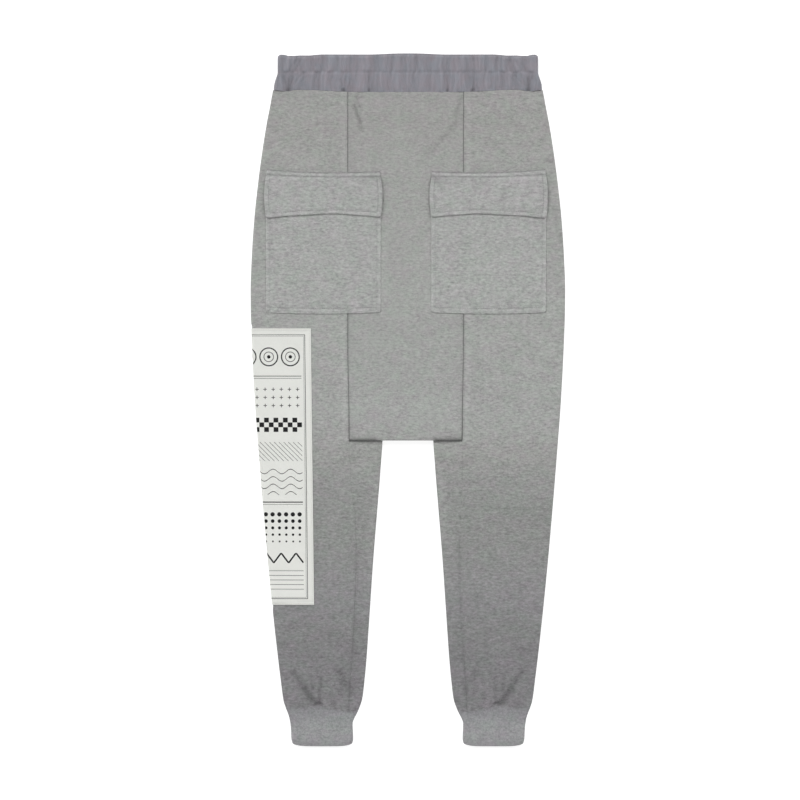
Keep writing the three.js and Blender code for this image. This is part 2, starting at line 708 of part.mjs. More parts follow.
function waistband() {
  const topCount = GATHERS * COLUMNS_PER_GATHER;
  const columns = 2 * RING_FOLD_ANGLES.length + topCount + BAND_UNDER_COLUMNS;
  return wall(BAND_ROWS.length, columns, (row, column) => {
    const down = Math.min(BAND_ROWS[row], WAIST_SEAM - SEAM_GAP / 2);
    const half = outline(SIDE_OUTLINE, down);
    const atEdge = BAND_EDGE_THINNER * (1 - rise(0, BAND_EDGE_ROUND, down));
    const atSeam = BAND_SEAM_THINNER * rise(WAIST_SEAM - BAND_SEAM_ROUND, WAIST_SEAM, down);
    const height = BAND_HEIGHT * (1 - atEdge - atSeam);
    const flatHalf = half - height / 2;
    const channel = CHANNEL_DEPTH * bell(down - CHANNEL_STITCH, CHANNEL_HALF);
    const place = ringPlace(column, topCount, BAND_UNDER_COLUMNS, -half, half, height, (x) => {
      const clearOfFold = rise(flatHalf, flatHalf - BAND_PLAIN_SIDE, Math.abs(x));
      return height + clearOfFold * (bandGathers(x, down) - channel);
    });
    const dip = EDGE_DIP * bell(Math.abs(place.across) - EDGE_DIP_FROM_MIDDLE, EDGE_DIP_HALF);
    const points = through(place, 1, down, BAND_CLOTH);
    if (place.outUp === 1) points.inner[2] = height - BAND_CLOTH - CHANNEL_DEPTH / 2;
    points.outer[1] -= dip * (1 - rise(0, CHANNEL_STITCH, down));
    points.inner[1] -= dip * (1 - rise(0, CHANNEL_STITCH, down));
    return points;
  }, { ring: true });
}

const CUFF_TOP_COLUMNS = 8;
const CUFF_UNDER_COLUMNS = 5;

function cuff(side) {
  const columns = 2 * RING_FOLD_ANGLES.length + CUFF_TOP_COLUMNS + CUFF_UNDER_COLUMNS;
  return wall(CUFF_ROWS.length, columns, (row, column) => {
    const down = Math.max(CUFF_ROWS[row], CUFF_SEAM + SEAM_GAP / 2);
    const outer = outline(SIDE_OUTLINE, down);
    const inner = outline(INSIDE_OUTLINE, down);
    const atSeam = CUFF_SEAM_THINNER * (1 - rise(CUFF_SEAM, CUFF_SEAM + CUFF_SEAM_ROUND, down));
    const atHem = CUFF_HEM_THINNER * rise(LENGTH - CUFF_HEM_ROUND, LENGTH, down);
    const height = CUFF_HEIGHT * (1 - atSeam - atHem);
    const topAt = () => height;
    const place = ringPlace(column, CUFF_TOP_COLUMNS, CUFF_UNDER_COLUMNS, inner, outer, height, topAt);
    return dipped(through(place, side, down, CUFF_CLOTH), place.across, down);
  }, { ring: true });
}

// The trousers

const trousers = new THREE.Group();

function addPiece(name, geometry, colour, roughness = 0.95) {
  const material = new THREE.MeshStandardMaterial({ color: colour, roughness, metalness: 0 });
  const mesh = new THREE.Mesh(geometry, material);
  mesh.name = name;
  trousers.add(mesh);
}

addPiece('waistband', waistband(), BAND_COLOUR, 0.6);
addPiece('centre_panel', centrePanel(), FLEECE_COLOUR);
for (const [name, side] of [['left', -1], ['right', 1]]) {
  addPiece(`back_leg_${name}`, backLeg(side), FLEECE_COLOUR);
  addPiece(`front_leg_${name}`, frontLeg(side), FLEECE_COLOUR);
  addPiece(`pocket_${name}`, pocket(side), POCKET_COLOUR);
  addPiece(`flap_${name}`, flap(side), POCKET_COLOUR);
  addPiece(`cuff_${name}`, cuff(side), CUFF_COLOUR);
}
addPiece('patch', patch(), PATCH_COLOUR, 0.85);

export default trousers;
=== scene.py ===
import math

import bpy
import numpy as np
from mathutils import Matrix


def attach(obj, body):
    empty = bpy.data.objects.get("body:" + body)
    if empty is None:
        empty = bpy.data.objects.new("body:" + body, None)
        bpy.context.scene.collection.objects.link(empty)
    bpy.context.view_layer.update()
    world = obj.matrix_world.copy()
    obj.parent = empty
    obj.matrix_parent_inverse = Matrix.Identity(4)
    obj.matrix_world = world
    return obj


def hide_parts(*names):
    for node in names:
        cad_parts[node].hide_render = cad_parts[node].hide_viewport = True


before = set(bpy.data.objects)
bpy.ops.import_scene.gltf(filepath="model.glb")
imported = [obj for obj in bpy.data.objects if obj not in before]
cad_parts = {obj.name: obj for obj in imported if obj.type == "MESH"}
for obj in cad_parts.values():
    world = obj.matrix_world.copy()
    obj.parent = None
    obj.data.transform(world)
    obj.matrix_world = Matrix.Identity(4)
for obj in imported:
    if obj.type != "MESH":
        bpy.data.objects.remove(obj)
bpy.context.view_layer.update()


# The backs of the legs are cut from heather loop-back fleece, brushed on its face.
# Each is sewn to the centre panel above the crotch, and closed by the inseam below it.

# Sizes are in millimetres. down is the distance below the waist's top edge, and across is the
# distance from the garment's middle line. side is -1 for the left leg and 1 for the right one.
SIDES = (("left", -1), ("right", 1))
LENGTH = 1026
WAIST_SEAM = 58
CROTCH = 573.5
CUFF_SEAM = 966
SEAM_GAP = 0.3
STITCHED_GAP = 0.04
FLEECE = 1.6
BODY_HEIGHT = 6.5
ANKLE_HEIGHT = 7.0
ANKLE_LENGTH = 86
FOLD_HEIGHT = 5.4
SIDE_SLOPE = 40
INSEAM_SLOPE = 28
PANEL_SHIFT = -3.3
PANEL_HALF_AT_WAIST = 85.6
PANEL_HALF_AT_CROTCH = 83.3
PANEL_NARROWS_FROM = 420
INSEAM_LEAVES_PANEL = (CROTCH + 5, 700)
BROAD_UNEVENNESS = 0.16
SMALL_UNEVENNESS = 0.15
HELD_BELOW_MOUTH = 3.5
FREE_BELOW_MOUTH = 33
CORNER_HEIGHT = 9.5
CORNER_REACH = 28
CORNER_FROM_ABOVE = 73.5
CORNER_TO_BELOW = 40
CUFF_LINE_ABOVE = 45
CUFF_LINE_BELOW = 30
WAIST_LINE_ABOVE = 26
WAIST_LINE_BELOW = 34
PATCH_TOP = 407.8
PATCH_BOTTOM = 816.8
PATCH_LIFT = 1.3
PATCH_CLEAR = 1.5
PATCH_RAMP = 8

# The outer and inner sides of the legs, and the inseam: down, across
SIDE_OUTLINE = np.array([
    (58, 200.2), (69.5, 202.1), (99, 208.1), (144, 215.4), (188, 221.3), (247, 227.6), (306, 231.4),
    (351, 232.9), (380, 232.7), (425, 231.2), (514, 226.7), (574, 222.3), (663, 215.2),
    (751, 207.5), (840, 198.6), (929, 188.2), (958, 184), (967, 181), (977, 177.3), (986, 175),
    (1000, 173.2), (1019, 172.4), (1026, 171),
])
INSIDE_OUTLINE = np.array([
    (560, 37.2), (618, 40.6), (663, 44.2), (751, 51.3), (840, 57.3), (900, 61.5), (929, 64.3),
    (950, 67.6), (960, 71.4), (970, 75.9), (980, 79.4), (993, 81.7), (1008, 81.2), (1019, 81), (1026, 82.2),
])
INSEAM = np.array([(574, 83), (660, 79), (740, 76.3), (836, 79), (890, 82.4), (966, 87)])

# How far the cuff seam hangs below its line, and how far the waist seam is drawn up: across, mm
CUFF_LINE = np.array([(70, 8.5), (88, 8.8), (100, 7.6), (112, 4.6), (124, 1.8), (132.5, -0.4),
                      (141.5, 0.4), (150, 2.2), (160, 2.6), (185, 1.8)])
WAIST_LINE = np.array([(0, -0.1), (60, -0.2), (95, 0.4), (108, 1.0), (130, 2.2), (145, 2.8), (160, 3.2),
                       (168, 3.0), (176, 1.1), (183, 0.9), (190, 2.0), (202, 2.8)])

# Creases on both legs and on one: start across and down, end across and down, half width, depth
ANKLE_CREASES = [
    (169, 918, 154, 940, 4.0, 2.2),
    (154, 940, 142, 958, 5.0, 3.4),
    (142, 958, 137, 963, 4.4, 3.6),
    (138, 963, 129, 963, 2.8, 3.7),
    (142, 921, 141, 943, 3.5, 1.0),
    (129, 926, 131, 962, 2.6, 1.9),
    (103, 918, 98, 944, 5.0, 0.8),
    (112, 948, 109, 966, 4.0, 1.1),
]
LEG_CREASES = [
    (117, 80, 104.5, 76, 2.4, 0.9),
    (102, 64, 96, 78, 3.0, 0.35),
    (60, 652, 53, 676, 3.0, 1.0),
    (96, 689, 83, 690, 2.2, 0.6),
    (100, 918, 84, 943, 4.5, 1.5),
]
ONLY_ON_LEFT = [(196, 118, 195, 119, 2.6, 0.8), (214, 232, 222, 272, 3.0, 0.5)]
ONLY_ON_RIGHT = [
    (203, 161, 214, 164, 4.5, 0.8),
    (216, 232, 225, 276, 4.0, 1.0),
    (90, 672, 122, 675, 3.0, 0.4),
    (122, 675, 203, 677, 2.8, 0.8),
]
# Where the ankle is drawn in most by its cuff
DRAWN_IN_FROM_MIDDLE = 134


def rise(start, end, value):
    """A share that goes softly from 0 at start to 1 at end."""
    share = np.clip((value - start) / (end - start), 0, 1)
    return share * share * (3 - 2 * share)


def plateau(start, full, fading, end, value):
    """A share that is whole from full to fading, and nothing before start and past end."""
    return rise(start, full, value) * (1 - rise(fading, end, value))


def mix(a, b, share):
    return a + (b - a) * share


def outline(table, down):
    """A smooth curve through a table's rows that never overshoots them."""
    at, across = table.T
    down = np.clip(down, at[0], at[-1])
    step = np.diff(across) / np.diff(at)
    both = step[:-1] * step[1:]
    slope = np.zeros(len(at))
    slope[1:-1] = np.where(both > 0, 2 * both / np.where(both > 0, step[:-1] + step[1:], 1), 0)
    row = np.clip(np.searchsorted(at, down, side="right") - 1, 0, len(at) - 2)
    span = at[row + 1] - at[row]
    t = (down - at[row]) / span
    from_start = (1 + 2 * t) * (1 - t) ** 2 * across[row] + t * (1 - t) ** 2 * span * slope[row]
    from_end = t * t * (3 - 2 * t) * across[row + 1] + t * t * (t - 1) * span * slope[row + 1]
    return from_start + from_end


def troughs(creases, across, down):
    """How deep a table of creases presses into the cloth."""
    depth = np.zeros(np.broadcast(across, down).shape)
    for start_x, start_y, end_x, end_y, half, deep in creases:
        run_x, run_y = end_x - start_x, end_y - start_y
        along = (across - start_x) * run_x + (down - start_y) * run_y
        t = np.clip(along / (run_x ** 2 + run_y ** 2), 0, 1)
        off = np.hypot(across - start_x - t * run_x, down - start_y - t * run_y)
        depth = np.maximum(depth, deep * np.exp(-((off / half) ** 2)))
    return depth


def lie(x, down):
    """The soft unevenness of cloth that was smoothed out by hand."""
    broad = np.sin(x / 31 + down / 47 + 0.6) + np.sin(x / 22 - down / 39 + 2.1)
    small = np.sin(x / 11.3 + 1.7 * np.sin(down / 41)) * np.sin(down / 13.7 + 0.02 * x)
    return BROAD_UNEVENNESS * broad + SMALL_UNEVENNESS * small


def panel_half(down):
    return mix(PANEL_HALF_AT_WAIST, PANEL_HALF_AT_CROTCH, rise(PANEL_NARROWS_FROM, CROTCH, down))


def seam_line(side, down):
    panel_seam = panel_half(down) + side * PANEL_SHIFT
    return mix(panel_seam, outline(INSEAM, down), rise(*INSEAM_LEAVES_PANEL, down))


def patch_lift(side, down):
    """How much thinner the left leg is pressed, on each face, where the patch goes round it."""
    if side > 0:
        return np.zeros(np.shape(down))
    above = rise(PATCH_TOP - PATCH_CLEAR - PATCH_RAMP, PATCH_TOP - PATCH_CLEAR, down)
    below = 1 - rise(PATCH_BOTTOM + PATCH_CLEAR, PATCH_BOTTOM + PATCH_CLEAR + PATCH_RAMP, down)
    return PATCH_LIFT * np.minimum(above, below)


def held_by_mouth(down):
    """How firmly the panel's mouth at the crotch holds the legs' cloth together."""
    return 1 - rise(CROTCH + HELD_BELOW_MOUTH, CROTCH + FREE_BELOW_MOUTH, down)


def near_corner(down):
    """How near a level is to the panel's corner at the crotch."""
    return plateau(CROTCH - CORNER_FROM_ABOVE, CROTCH - HELD_BELOW_MOUTH,
                   CROTCH + HELD_BELOW_MOUTH, CROTCH + CORNER_TO_BELOW, down)


def side_fold(side, down):
    """The outer fold of a leg: its centre across and up, and its radius."""
    lift = patch_lift(side, down)
    radius = (FOLD_HEIGHT - lift) / 2
    return outline(SIDE_OUTLINE, down) - lift - radius, lift + radius, radius


EXTENSION_LOW = 2 * (FLEECE + SEAM_GAP)
EXTENSION_HIGH = EXTENSION_LOW + 2 * FLEECE + SEAM_GAP


def inside_fold(down):
    """The inner fold of a leg, below the crotch: its centre across and up, and its radius."""
    held = held_by_mouth(down)
    low = EXTENSION_LOW * held
    radius = (mix(FOLD_HEIGHT, EXTENSION_HIGH, held) - low) / 2
    return outline(INSIDE_OUTLINE, down) + radius, low + radius, radius


def back_height(side, across, down):
    """How high the face of a leg's back lies."""
    full = mix(BODY_HEIGHT, ANKLE_HEIGHT, rise(CUFF_SEAM - ANKLE_LENGTH, CUFF_SEAM, down))
    from_side = side_fold(side, down)[0] - across
    on_flat = rise(0, SIDE_SLOPE, from_side)
    from_inside = across - inside_fold(down)[0]
    past_inside = np.where(down > CROTCH, rise(0, INSEAM_SLOPE, from_inside), 1)
    height = full - (full - FOLD_HEIGHT) * (2 - on_flat - past_inside)
    by_seam = 1 - rise(0, CORNER_REACH, across - seam_line(side, down))
    height = height + (CORNER_HEIGHT - BODY_HEIGHT) * near_corner(down) * by_seam
    height = height + on_flat * past_inside * lie(side * across, down)
    return height - troughs(ANKLE_CREASES, across, down)


def near_seam(seam, above, below, down):
    """A share that is whole at a seam round the garment and fades away from it."""
    before = rise(seam - above, seam - STITCHED_GAP, down)
    return np.minimum(before, 1 - rise(seam + STITCHED_GAP, seam + below, down))


def waist_lift(across, down):
    """How far cloth beside the waist seam is drawn up with it."""
    near = near_seam(WAIST_SEAM, WAIST_LINE_ABOVE, WAIST_LINE_BELOW, down)
    return near * outline(WAIST_LINE, np.abs(across))


def cuff_dip(across, down):
    """How far cloth beside a cuff seam hangs down with it."""
    near = near_seam(CUFF_SEAM, CUFF_LINE_ABOVE, CUFF_LINE_BELOW, down)
    return near * outline(CUFF_LINE, across)


def rolled(distance, depth, reach=None):
    """How far cloth sinks where it turns into a seam or over its own edge."""
    left = np.clip(1 - distance / (depth if reach is None else reach), 0, 1)
    return depth * (1 - np.sqrt(1 - left ** 2))


def line(distance, half):
    """A soft line, 1 in its middle."""
    return np.exp(-((distance / half) ** 2))


# Distances from an edge, close together where the cloth rolls over
EDGE = np.array([0, 0.1, 0.3, 0.6, 1.0, 1.6, 2.6])
SHARP_EDGE = math.radians(60)


def stations(start, end, step, fine_start=True, fine_end=True):
    """Stations along a length, close together at its ends."""
    low = start + EDGE if fine_start else np.array([start])
    high = end - EDGE[::-1] if fine_end else np.array([end])
    count = max(1, round((high[0] - low[-1]) / step))
    return np.concatenate([low, np.linspace(low[-1], high[0], count + 1)[1:-1], high])


def shell(name, outer, inner, used=None, ring=False, turned=None, shade=0.0):
    """A closed thin wall between two grids of points in millimetres, over the cells in use.
    turned gives each grid point its place on the flat cut, in metres, for a printed cloth, and shade the
    painted shade on its outer face, as where cloth is pressed into a seam; below 0 it is painted light."""
    row_count, column_count = outer.shape[:2]
    number = np.arange(row_count * column_count).reshape(row_count, column_count)
    if ring:
        number = np.hstack([number, number[:, :1]])
    a, b, c, d = number[:-1, :-1], number[:-1, 1:], number[1:, 1:], number[1:, :-1]
    if used is None:
        used = np.ones(a.shape, bool)
    inside = row_count * column_count
    edge = np.pad(used, 1)
    if ring:
        edge[:, 0], edge[:, -1] = edge[:, -2], edge[:, 1]
    rims = [
        (used & ~edge[:-2, 1:-1], (b, a)),
        (used & ~edge[1:-1, 2:], (c, b)),
        (used & ~edge[2:, 1:-1], (d, c)),
        (used & ~edge[1:-1, :-2], (a, d)),
    ]
    faces = [np.stack([a, b, c, d], -1)[used], np.stack([d, c, b, a], -1)[used] + inside]
    for mask, (p, q) in rims:
        faces.append(np.stack([p, q, q + inside, p + inside], -1)[mask])
    faces = np.concatenate(faces)
    points = np.concatenate([outer.reshape(-1, 3), inner.reshape(-1, 3)]) * 0.001
    corner = points[faces]
    spans = np.cross(corner[:, 1] - corner[:, 0], corner[:, 2] - corner[:, 0])
    spans += np.cross(corner[:, 2] - corner[:, 0], corner[:, 3] - corner[:, 0])
    if (spans * corner[:, 0]).sum() < 0:
        faces = faces[:, ::-1]
    kept, faces = np.unique(faces, return_inverse=True)
    faces = faces.reshape(-1, 4)
    mesh = bpy.data.meshes.new(name)
    mesh.from_pydata(points[kept].tolist(), [], faces.tolist())
    if turned is not None:
        places = np.concatenate([turned.reshape(-1, 2)] * 2)[kept][faces.ravel()]
        layer = mesh.uv_layers.new(name="cut")
        layer.uv.foreach_set("vector", places.astype(np.float32).ravel())
    shades = np.zeros(2 * inside, np.float32)
    shades[:inside] = np.broadcast_to(shade, outer.shape[:2]).ravel()
    mesh.attributes.new("shade", "FLOAT", "POINT").data.foreach_set("value", shades[kept])
    mesh.shade_smooth()
    mesh.set_sharp_from_angle(angle=SHARP_EDGE)
    piece = bpy.data.objects.new(name, mesh)
    bpy.context.scene.collection.objects.link(piece)
    return piece


def through(side, down, across, up, out_across, out_up, thickness=FLEECE, sunk=0):
    """Outer and inner points of a wall, from its outer face and which way is out there."""
    down, across, up, out_across, out_up, sunk = np.broadcast_arrays(
        down, across, up, out_across, out_up, sunk)
    y = LENGTH / 2 - down - cuff_dip(across, down) + waist_lift(across, down)
    outer = [side * (across - sunk * out_across), y, up - sunk * out_up]
    inner = [side * (across - thickness * out_across), y, up - thickness * out_up]
    return np.stack(outer, -1), np.stack(inner, -1)


def round_fold(centre_across, centre_up, radius, degrees):
    """Places on the round of a fold: across, up, and which way is out."""
    angle = np.radians(degrees)
    cos, sin = np.cos(angle), np.sin(angle)
    shape = np.broadcast(centre_across, cos).shape
    return [np.broadcast_to(value, shape) for value in (
        centre_across + radius * cos, centre_up + radius * sin, cos, sin)]


def flat_strip(across, up, facing):
    """Places on a flat strip that faces up, 1, or down, -1: as on a fold."""
    return [across, up + 0 * across, 0 * across, 0 * across + facing]


def side_by_side(*strips):
    return [np.concatenate(parts, axis=1) for parts in zip(*strips)]


NOT_FIRST = slice(1, None)
NOT_LAST = slice(None, -1)
BETWEEN_ENDS = slice(1, -1)


def columns(start, end, count, kept=slice(None)):
    """Evenly spaced columns of points from one line down the garment to another."""
    return mix(start, end, np.linspace(0, 1, count)[None, kept])


class Signal:
    """An output of a finish's nodes. An expression on it adds its Math nodes to the finish."""

    tree = None

    def __init__(self, socket):
        self.socket = socket

    @classmethod
    def of(cls, kind, settings=None, values=None, output=0):
        node = cls.tree.nodes.new(kind)
        for name, value in (settings or {}).items():
            if name == "stops":
                ramp = node.color_ramp.elements
                while len(ramp) < len(value):
                    ramp.new(1)
                for stop, (position, colour) in zip(ramp, value):
                    stop.position = position
                    stop.color = (*colour, 1)
            else:
                setattr(node, name, value)
        for name, value in (values or {}).items():
            if isinstance(value, Signal):
                cls.tree.links.new(value.socket, node.inputs[name])
            else:
                node.inputs[name].default_value = value
        return cls(node.outputs[output] if node.outputs else None)

    def sum_of(self, operation, a, b):
        return Signal.of("ShaderNodeMath", {"operation": operation}, {0: a, 1: b})

    def __add__(self, other):
        return self.sum_of("ADD", self, other)

    __radd__ = __add__

    def __sub__(self, other):
        return self.sum_of("SUBTRACT", self, other)

    def __rsub__(self, other):
        return self.sum_of("SUBTRACT", other, self)

    def __mul__(self, other):
        return self.sum_of("MULTIPLY", self, other)

    __rmul__ = __mul__

    def __truediv__(self, other):
        return self.sum_of("DIVIDE", self, other)

    def __mod__(self, other):
        return self.sum_of("FLOORED_MODULO", self, other)

    def __lt__(self, other):
        return self.sum_of("LESS_THAN", self, other)

    def __gt__(self, other):
        return self.sum_of("GREATER_THAN", self, other)

    def __abs__(self):
        return Signal.of("ShaderNodeMath", {"operation": "ABSOLUTE"}, {0: self})

    def sine(self):
        return Signal.of("ShaderNodeMath", {"operation": "SINE"}, {0: self})


def begin_finish(name):
    finish = bpy.data.materials.new(name)
    finish.use_nodes = True
    finish.node_tree.nodes.clear()
    Signal.tree = finish.node_tree
    return finish


def cloth_place(x, y, z):
    """Where a point of the cloth is, with each direction scaled by its own number."""
    place = Signal.of("ShaderNodeTexCoord", output="Object")
    return Signal.of("ShaderNodeVectorMath", {"operation": "MULTIPLY"}, {0: place, 1: (x, y, z)})


def cloth_axis(axis):
    """Where a point of the cloth is along x, 0, or y, 1, in metres."""
    place = Signal.of("ShaderNodeTexCoord", output="Object")
    return Signal.of("ShaderNodeSeparateXYZ", values={0: place}, output=axis)


GRAIN_ROUGHNESS = 0.55
SWAY_FEATURES = (34, 48, 34)


def grain(x, y, z, detail=2.0, sway=0.0):
    """Noise from -1 to 1 with x, y and z features to the metre, swayed sideways by some metres."""
    place = cloth_place(x, y, z)
    if sway:
        aside = Signal.of("ShaderNodeCombineXYZ", values={0: grain(*SWAY_FEATURES) * (sway * x)})
        place = Signal.of("ShaderNodeVectorMath", {"operation": "ADD"}, {0: place, 1: aside})
    values = {"Vector": place, "Scale": 1.0, "Detail": detail, "Roughness": GRAIN_ROUGHNESS}
    return Signal.of("ShaderNodeTexNoise", values=values) * 2 - 1


def scaled(colour, tone):
    return Signal.of("ShaderNodeVectorMath", {"operation": "SCALE"}, {0: colour, "Scale": tone})


def blended(a, b, share):
    return Signal.of("ShaderNodeMix", {"data_type": "RGBA"}, {0: share, 6: a, 7: b}, output=2)


def end_finish(colour, height, deep, roughness, sheen, specular=0.3):
    """Ends a finish with its colour, its relief and how many metres deep that is, and its gloss."""
    bump = Signal.of("ShaderNodeBump", values={"Strength": 1.0, "Distance": deep, "Height": height})
    surface = Signal.of("ShaderNodeBsdfPrincipled", values={
        "Base Color": colour, "Roughness": roughness, "Specular IOR Level": specular,
        "Sheen Weight": sheen, "Sheen Roughness": 0.5, "Normal": bump})
    Signal.of("ShaderNodeOutputMaterial", values={"Surface": surface})


def linear(level):
    """A tone of 0 to 255 as it is seen on a screen, as a share of light."""
    share = level / 255
    return share / 12.92 if share <= 0.04045 else ((share + 0.055) / 1.055) ** 2.4


def paint(red, green, blue):
    return linear(red), linear(green), linear(blue)


# The knit's wales stand 1.1 mm apart and its courses 0.85 mm. The brushed face hides most of it.
WALE = 0.0011
COURSE = 0.00085


def knit_height():
    from_wale = abs((cloth_axis(0) / WALE) % 1 - 0.5)
    loop = ((cloth_axis(1) / COURSE + from_wale) * (2 * math.pi)).sine()
    return loop * 0.3 - abs(from_wale - 0.25) * 2


def painted_light_and_shade():
    """The painted shade on the cloth here, from its mesh; below 0 it is painted light."""
    return Signal.of("ShaderNodeAttribute", {"attribute_name": "shade"}, output=2)


def tinged(colour, first, second, share):
    """A colour that drifts between two casts of itself."""
    casts = [Signal.of("ShaderNodeVectorMath", {"operation": "MULTIPLY"}, {0: colour, 1: cast})
             for cast in (first, second)]
    return blended(*casts, share)


ROSY_CAST = (1.033, 0.976, 1.022)
GREENISH_CAST = (0.972, 1.018, 0.978)
FLECK_AT_WAIST = 0.8
FLECK_GAIN_TO_HEM = 0.45


def fleece(name, tones, fleck, nap, streak=(160, 345)):
    """Heather fleece. tones gives its colour at distances down the garment. fleck is how strongly
    its mixed fibres show, nap how far it is brushed up, and streak how fine its flecks are."""
    finish = begin_finish(name)
    down = 0.5 - cloth_axis(1) / (LENGTH * 0.001)
    stops = [(at / LENGTH, paint(*tone)) for at, tone in tones]
    base = Signal.of("ShaderNodeValToRGB", {"stops": stops}, {0: down})
    streaks = grain(streak[0], streak[1], 300)
    flecks = grain(streak[0] * 2.3, streak[1] * 2.1, 700, 3.0)
    clumps = grain(streak[0] * 1.35, streak[0] * 1.5, 240)
    clouds = grain(48, 80, 60)
    mottled = streaks * 0.42 + clumps * 0.16 + flecks * 0.27 + clouds * 0.13
    fleck_here = fleck * (FLECK_AT_WAIST + down * FLECK_GAIN_TO_HEM)
    tone = (1 - painted_light_and_shade()) * (1 + fleck_here * mottled)
    drift = grain(58, 76, 60) * 1.1 + 0.5
    colour = tinged(base, ROSY_CAST, GREENISH_CAST, drift)
    fuzz = streaks * 0.5 + grain(900, 1100, 900, 4.0) * nap + grain(300, 420, 300) * (nap * 0.6)
    relief = knit_height() * 0.35 + fuzz
    end_finish(scaled(colour, tone), relief, deep=0.0004, roughness=0.95, sheen=0.25)
    return finish


# Down the garment, and the colour there, which grows darker from the crotch to the ankles
BODY_TONES = [(60, (159, 159.5, 157.5)), (107, (157, 157.5, 155)), (150, (159.5, 161, 158)),
              (410, (162.5, 164.7, 161.6)), (540, (161.5, 163.5, 161)), (570, (160, 161.5, 159)),
              (596, (155.5, 157, 154)), (633, (147.5, 149, 147)), (670, (142.5, 144.5, 142)),
              (720, (140.5, 142, 140)), (781, (139.5, 139.7, 140)), (818, (136, 136, 137)),
              (855, (131, 132, 131.5)), (892, (126.9, 126.9, 127.9)), (966, (128, 127.5, 129))]
leg_fleece = fleece("leg_fleece", BODY_TONES, fleck=1.0, nap=1.0)

# Rows of points down a leg, closer together at its seams and creases
LEG_ROWS = np.unique(np.concatenate([
    stations(WAIST_SEAM + STITCHED_GAP / 2, 126, 2.2, fine_end=False),
    np.arange(130, 540, 4.5),
    np.arange(540, 620, 2.0),
    np.arange(620, 645, 4.5),
    np.arange(645, 700, 1.9),
    np.arange(702, 900, 4.5),
    stations(900, CUFF_SEAM - STITCHED_GAP / 2, 1.8, fine_start=False),
]))
SEAM_RIDGE = 0.45
SEAM_ALLOWANCE = 9
WAIST_ALLOWANCE = 0.5
WAIST_PUCKER = 0.16
CUFF_PUCKER = 0.3
PANEL_SEAM_SUNK = 1.2
INSEAM_SUNK = 0.25
WAIST_SEAM_SUNK = 0.3
CUFF_SEAM_SUNK = 0.15
# Painted shade in the seams and just below the pockets, and a band of painted light beside the panel's seams
PANEL_SEAM_SHADE = 0.26
INSEAM_SHADE = 0.09
PALE_BY_SEAM = 0.055
BELOW_POCKET_SHADE = 0.07
CLEAR_OF_FOLD = 8
NO_SEAM = 99.0


def seam_shade_half(down):
    """Half the width of a panel seam's shade, which is wider below the pockets."""
    return mix(0.9, 1.5, rise(380, 400, down))


def below_pocket(down):
    """A share that is whole just below the pockets' hems."""
    return plateau(378, 386, 394, 450, down)


def seams_sink(from_seam, down):
    """How far a leg's cloth sinks into its seams, and the painted shade along them, with a band of painted
    light beside the panel's seams. The panel's seams are pressed in hard, and the inseam lies almost flat."""
    above = 1 - rise(CROTCH - 4, CROTCH + 4, down)
    sunk = rolled(from_seam, mix(INSEAM_SUNK, PANEL_SEAM_SUNK, above))
    sunk = np.maximum(sunk, rolled(down - WAIST_SEAM, WAIST_SEAM_SUNK))
    sunk = np.maximum(sunk, rolled(CUFF_SEAM - down, CUFF_SEAM_SUNK))
    valley = INSEAM_SHADE * rise(680, 750, down) * line(from_seam, 3.8)
    shade = mix(valley, PANEL_SEAM_SHADE * line(from_seam, seam_shade_half(down)), above)
    shade = shade - PALE_BY_SEAM * above * plateau(2.6, 4.2, 9, 12, from_seam)
    shade = shade + BELOW_POCKET_SHADE * above * below_pocket(down) * line(from_seam, 4.5)
    return sunk, shade


def leg_creases(side, across, down):
    return troughs(LEG_CREASES + (ONLY_ON_LEFT if side < 0 else ONLY_ON_RIGHT), across, down)


def gathered_in(x, down):
    """Puckers where the cloth is eased into the waist seam and the cuff seam."""
    at_waist = 1 - rise(WAIST_SEAM, WAIST_SEAM + 26, down)
    at_cuff = rise(CUFF_SEAM - 24, CUFF_SEAM, down)
    waist = WAIST_PUCKER * at_waist * np.sin(x / 2.1 + 1.3 * np.sin(x / 17))
    waist = waist + WAIST_ALLOWANCE * (1 - rise(WAIST_SEAM + 3, WAIST_SEAM + 11, down))
    return waist + CUFF_PUCKER * at_cuff * np.sin(x / 1.9 + 1.6 * np.sin(x / 9 + down / 30))


def crease_shade(side, across, down):
    """The painted shade in a leg's creases, deepest where the leg is drawn in at its cuff and in a patch
    beside that, less a patch of painted light above the cuff seam on the leg's inner half.
    """
    drawn_in_shade = 0.16 * line(across - DRAWN_IN_FROM_MIDDLE, 7) * line(CUFF_SEAM - down, 3.5)
    beside = 0.1 * line(across - 157, 12) * line(CUFF_SEAM - 5 - down, 10)
    painted_light_above_cuff = 0.06 * line(CUFF_SEAM - down, 5) * rise(0, 8, 122 - across)
    ankle = 0.095 * troughs(ANKLE_CREASES, across, down)
    leg = 0.08 * leg_creases(side, across, down)
    return ankle + leg + drawn_in_shade + beside - painted_light_above_cuff


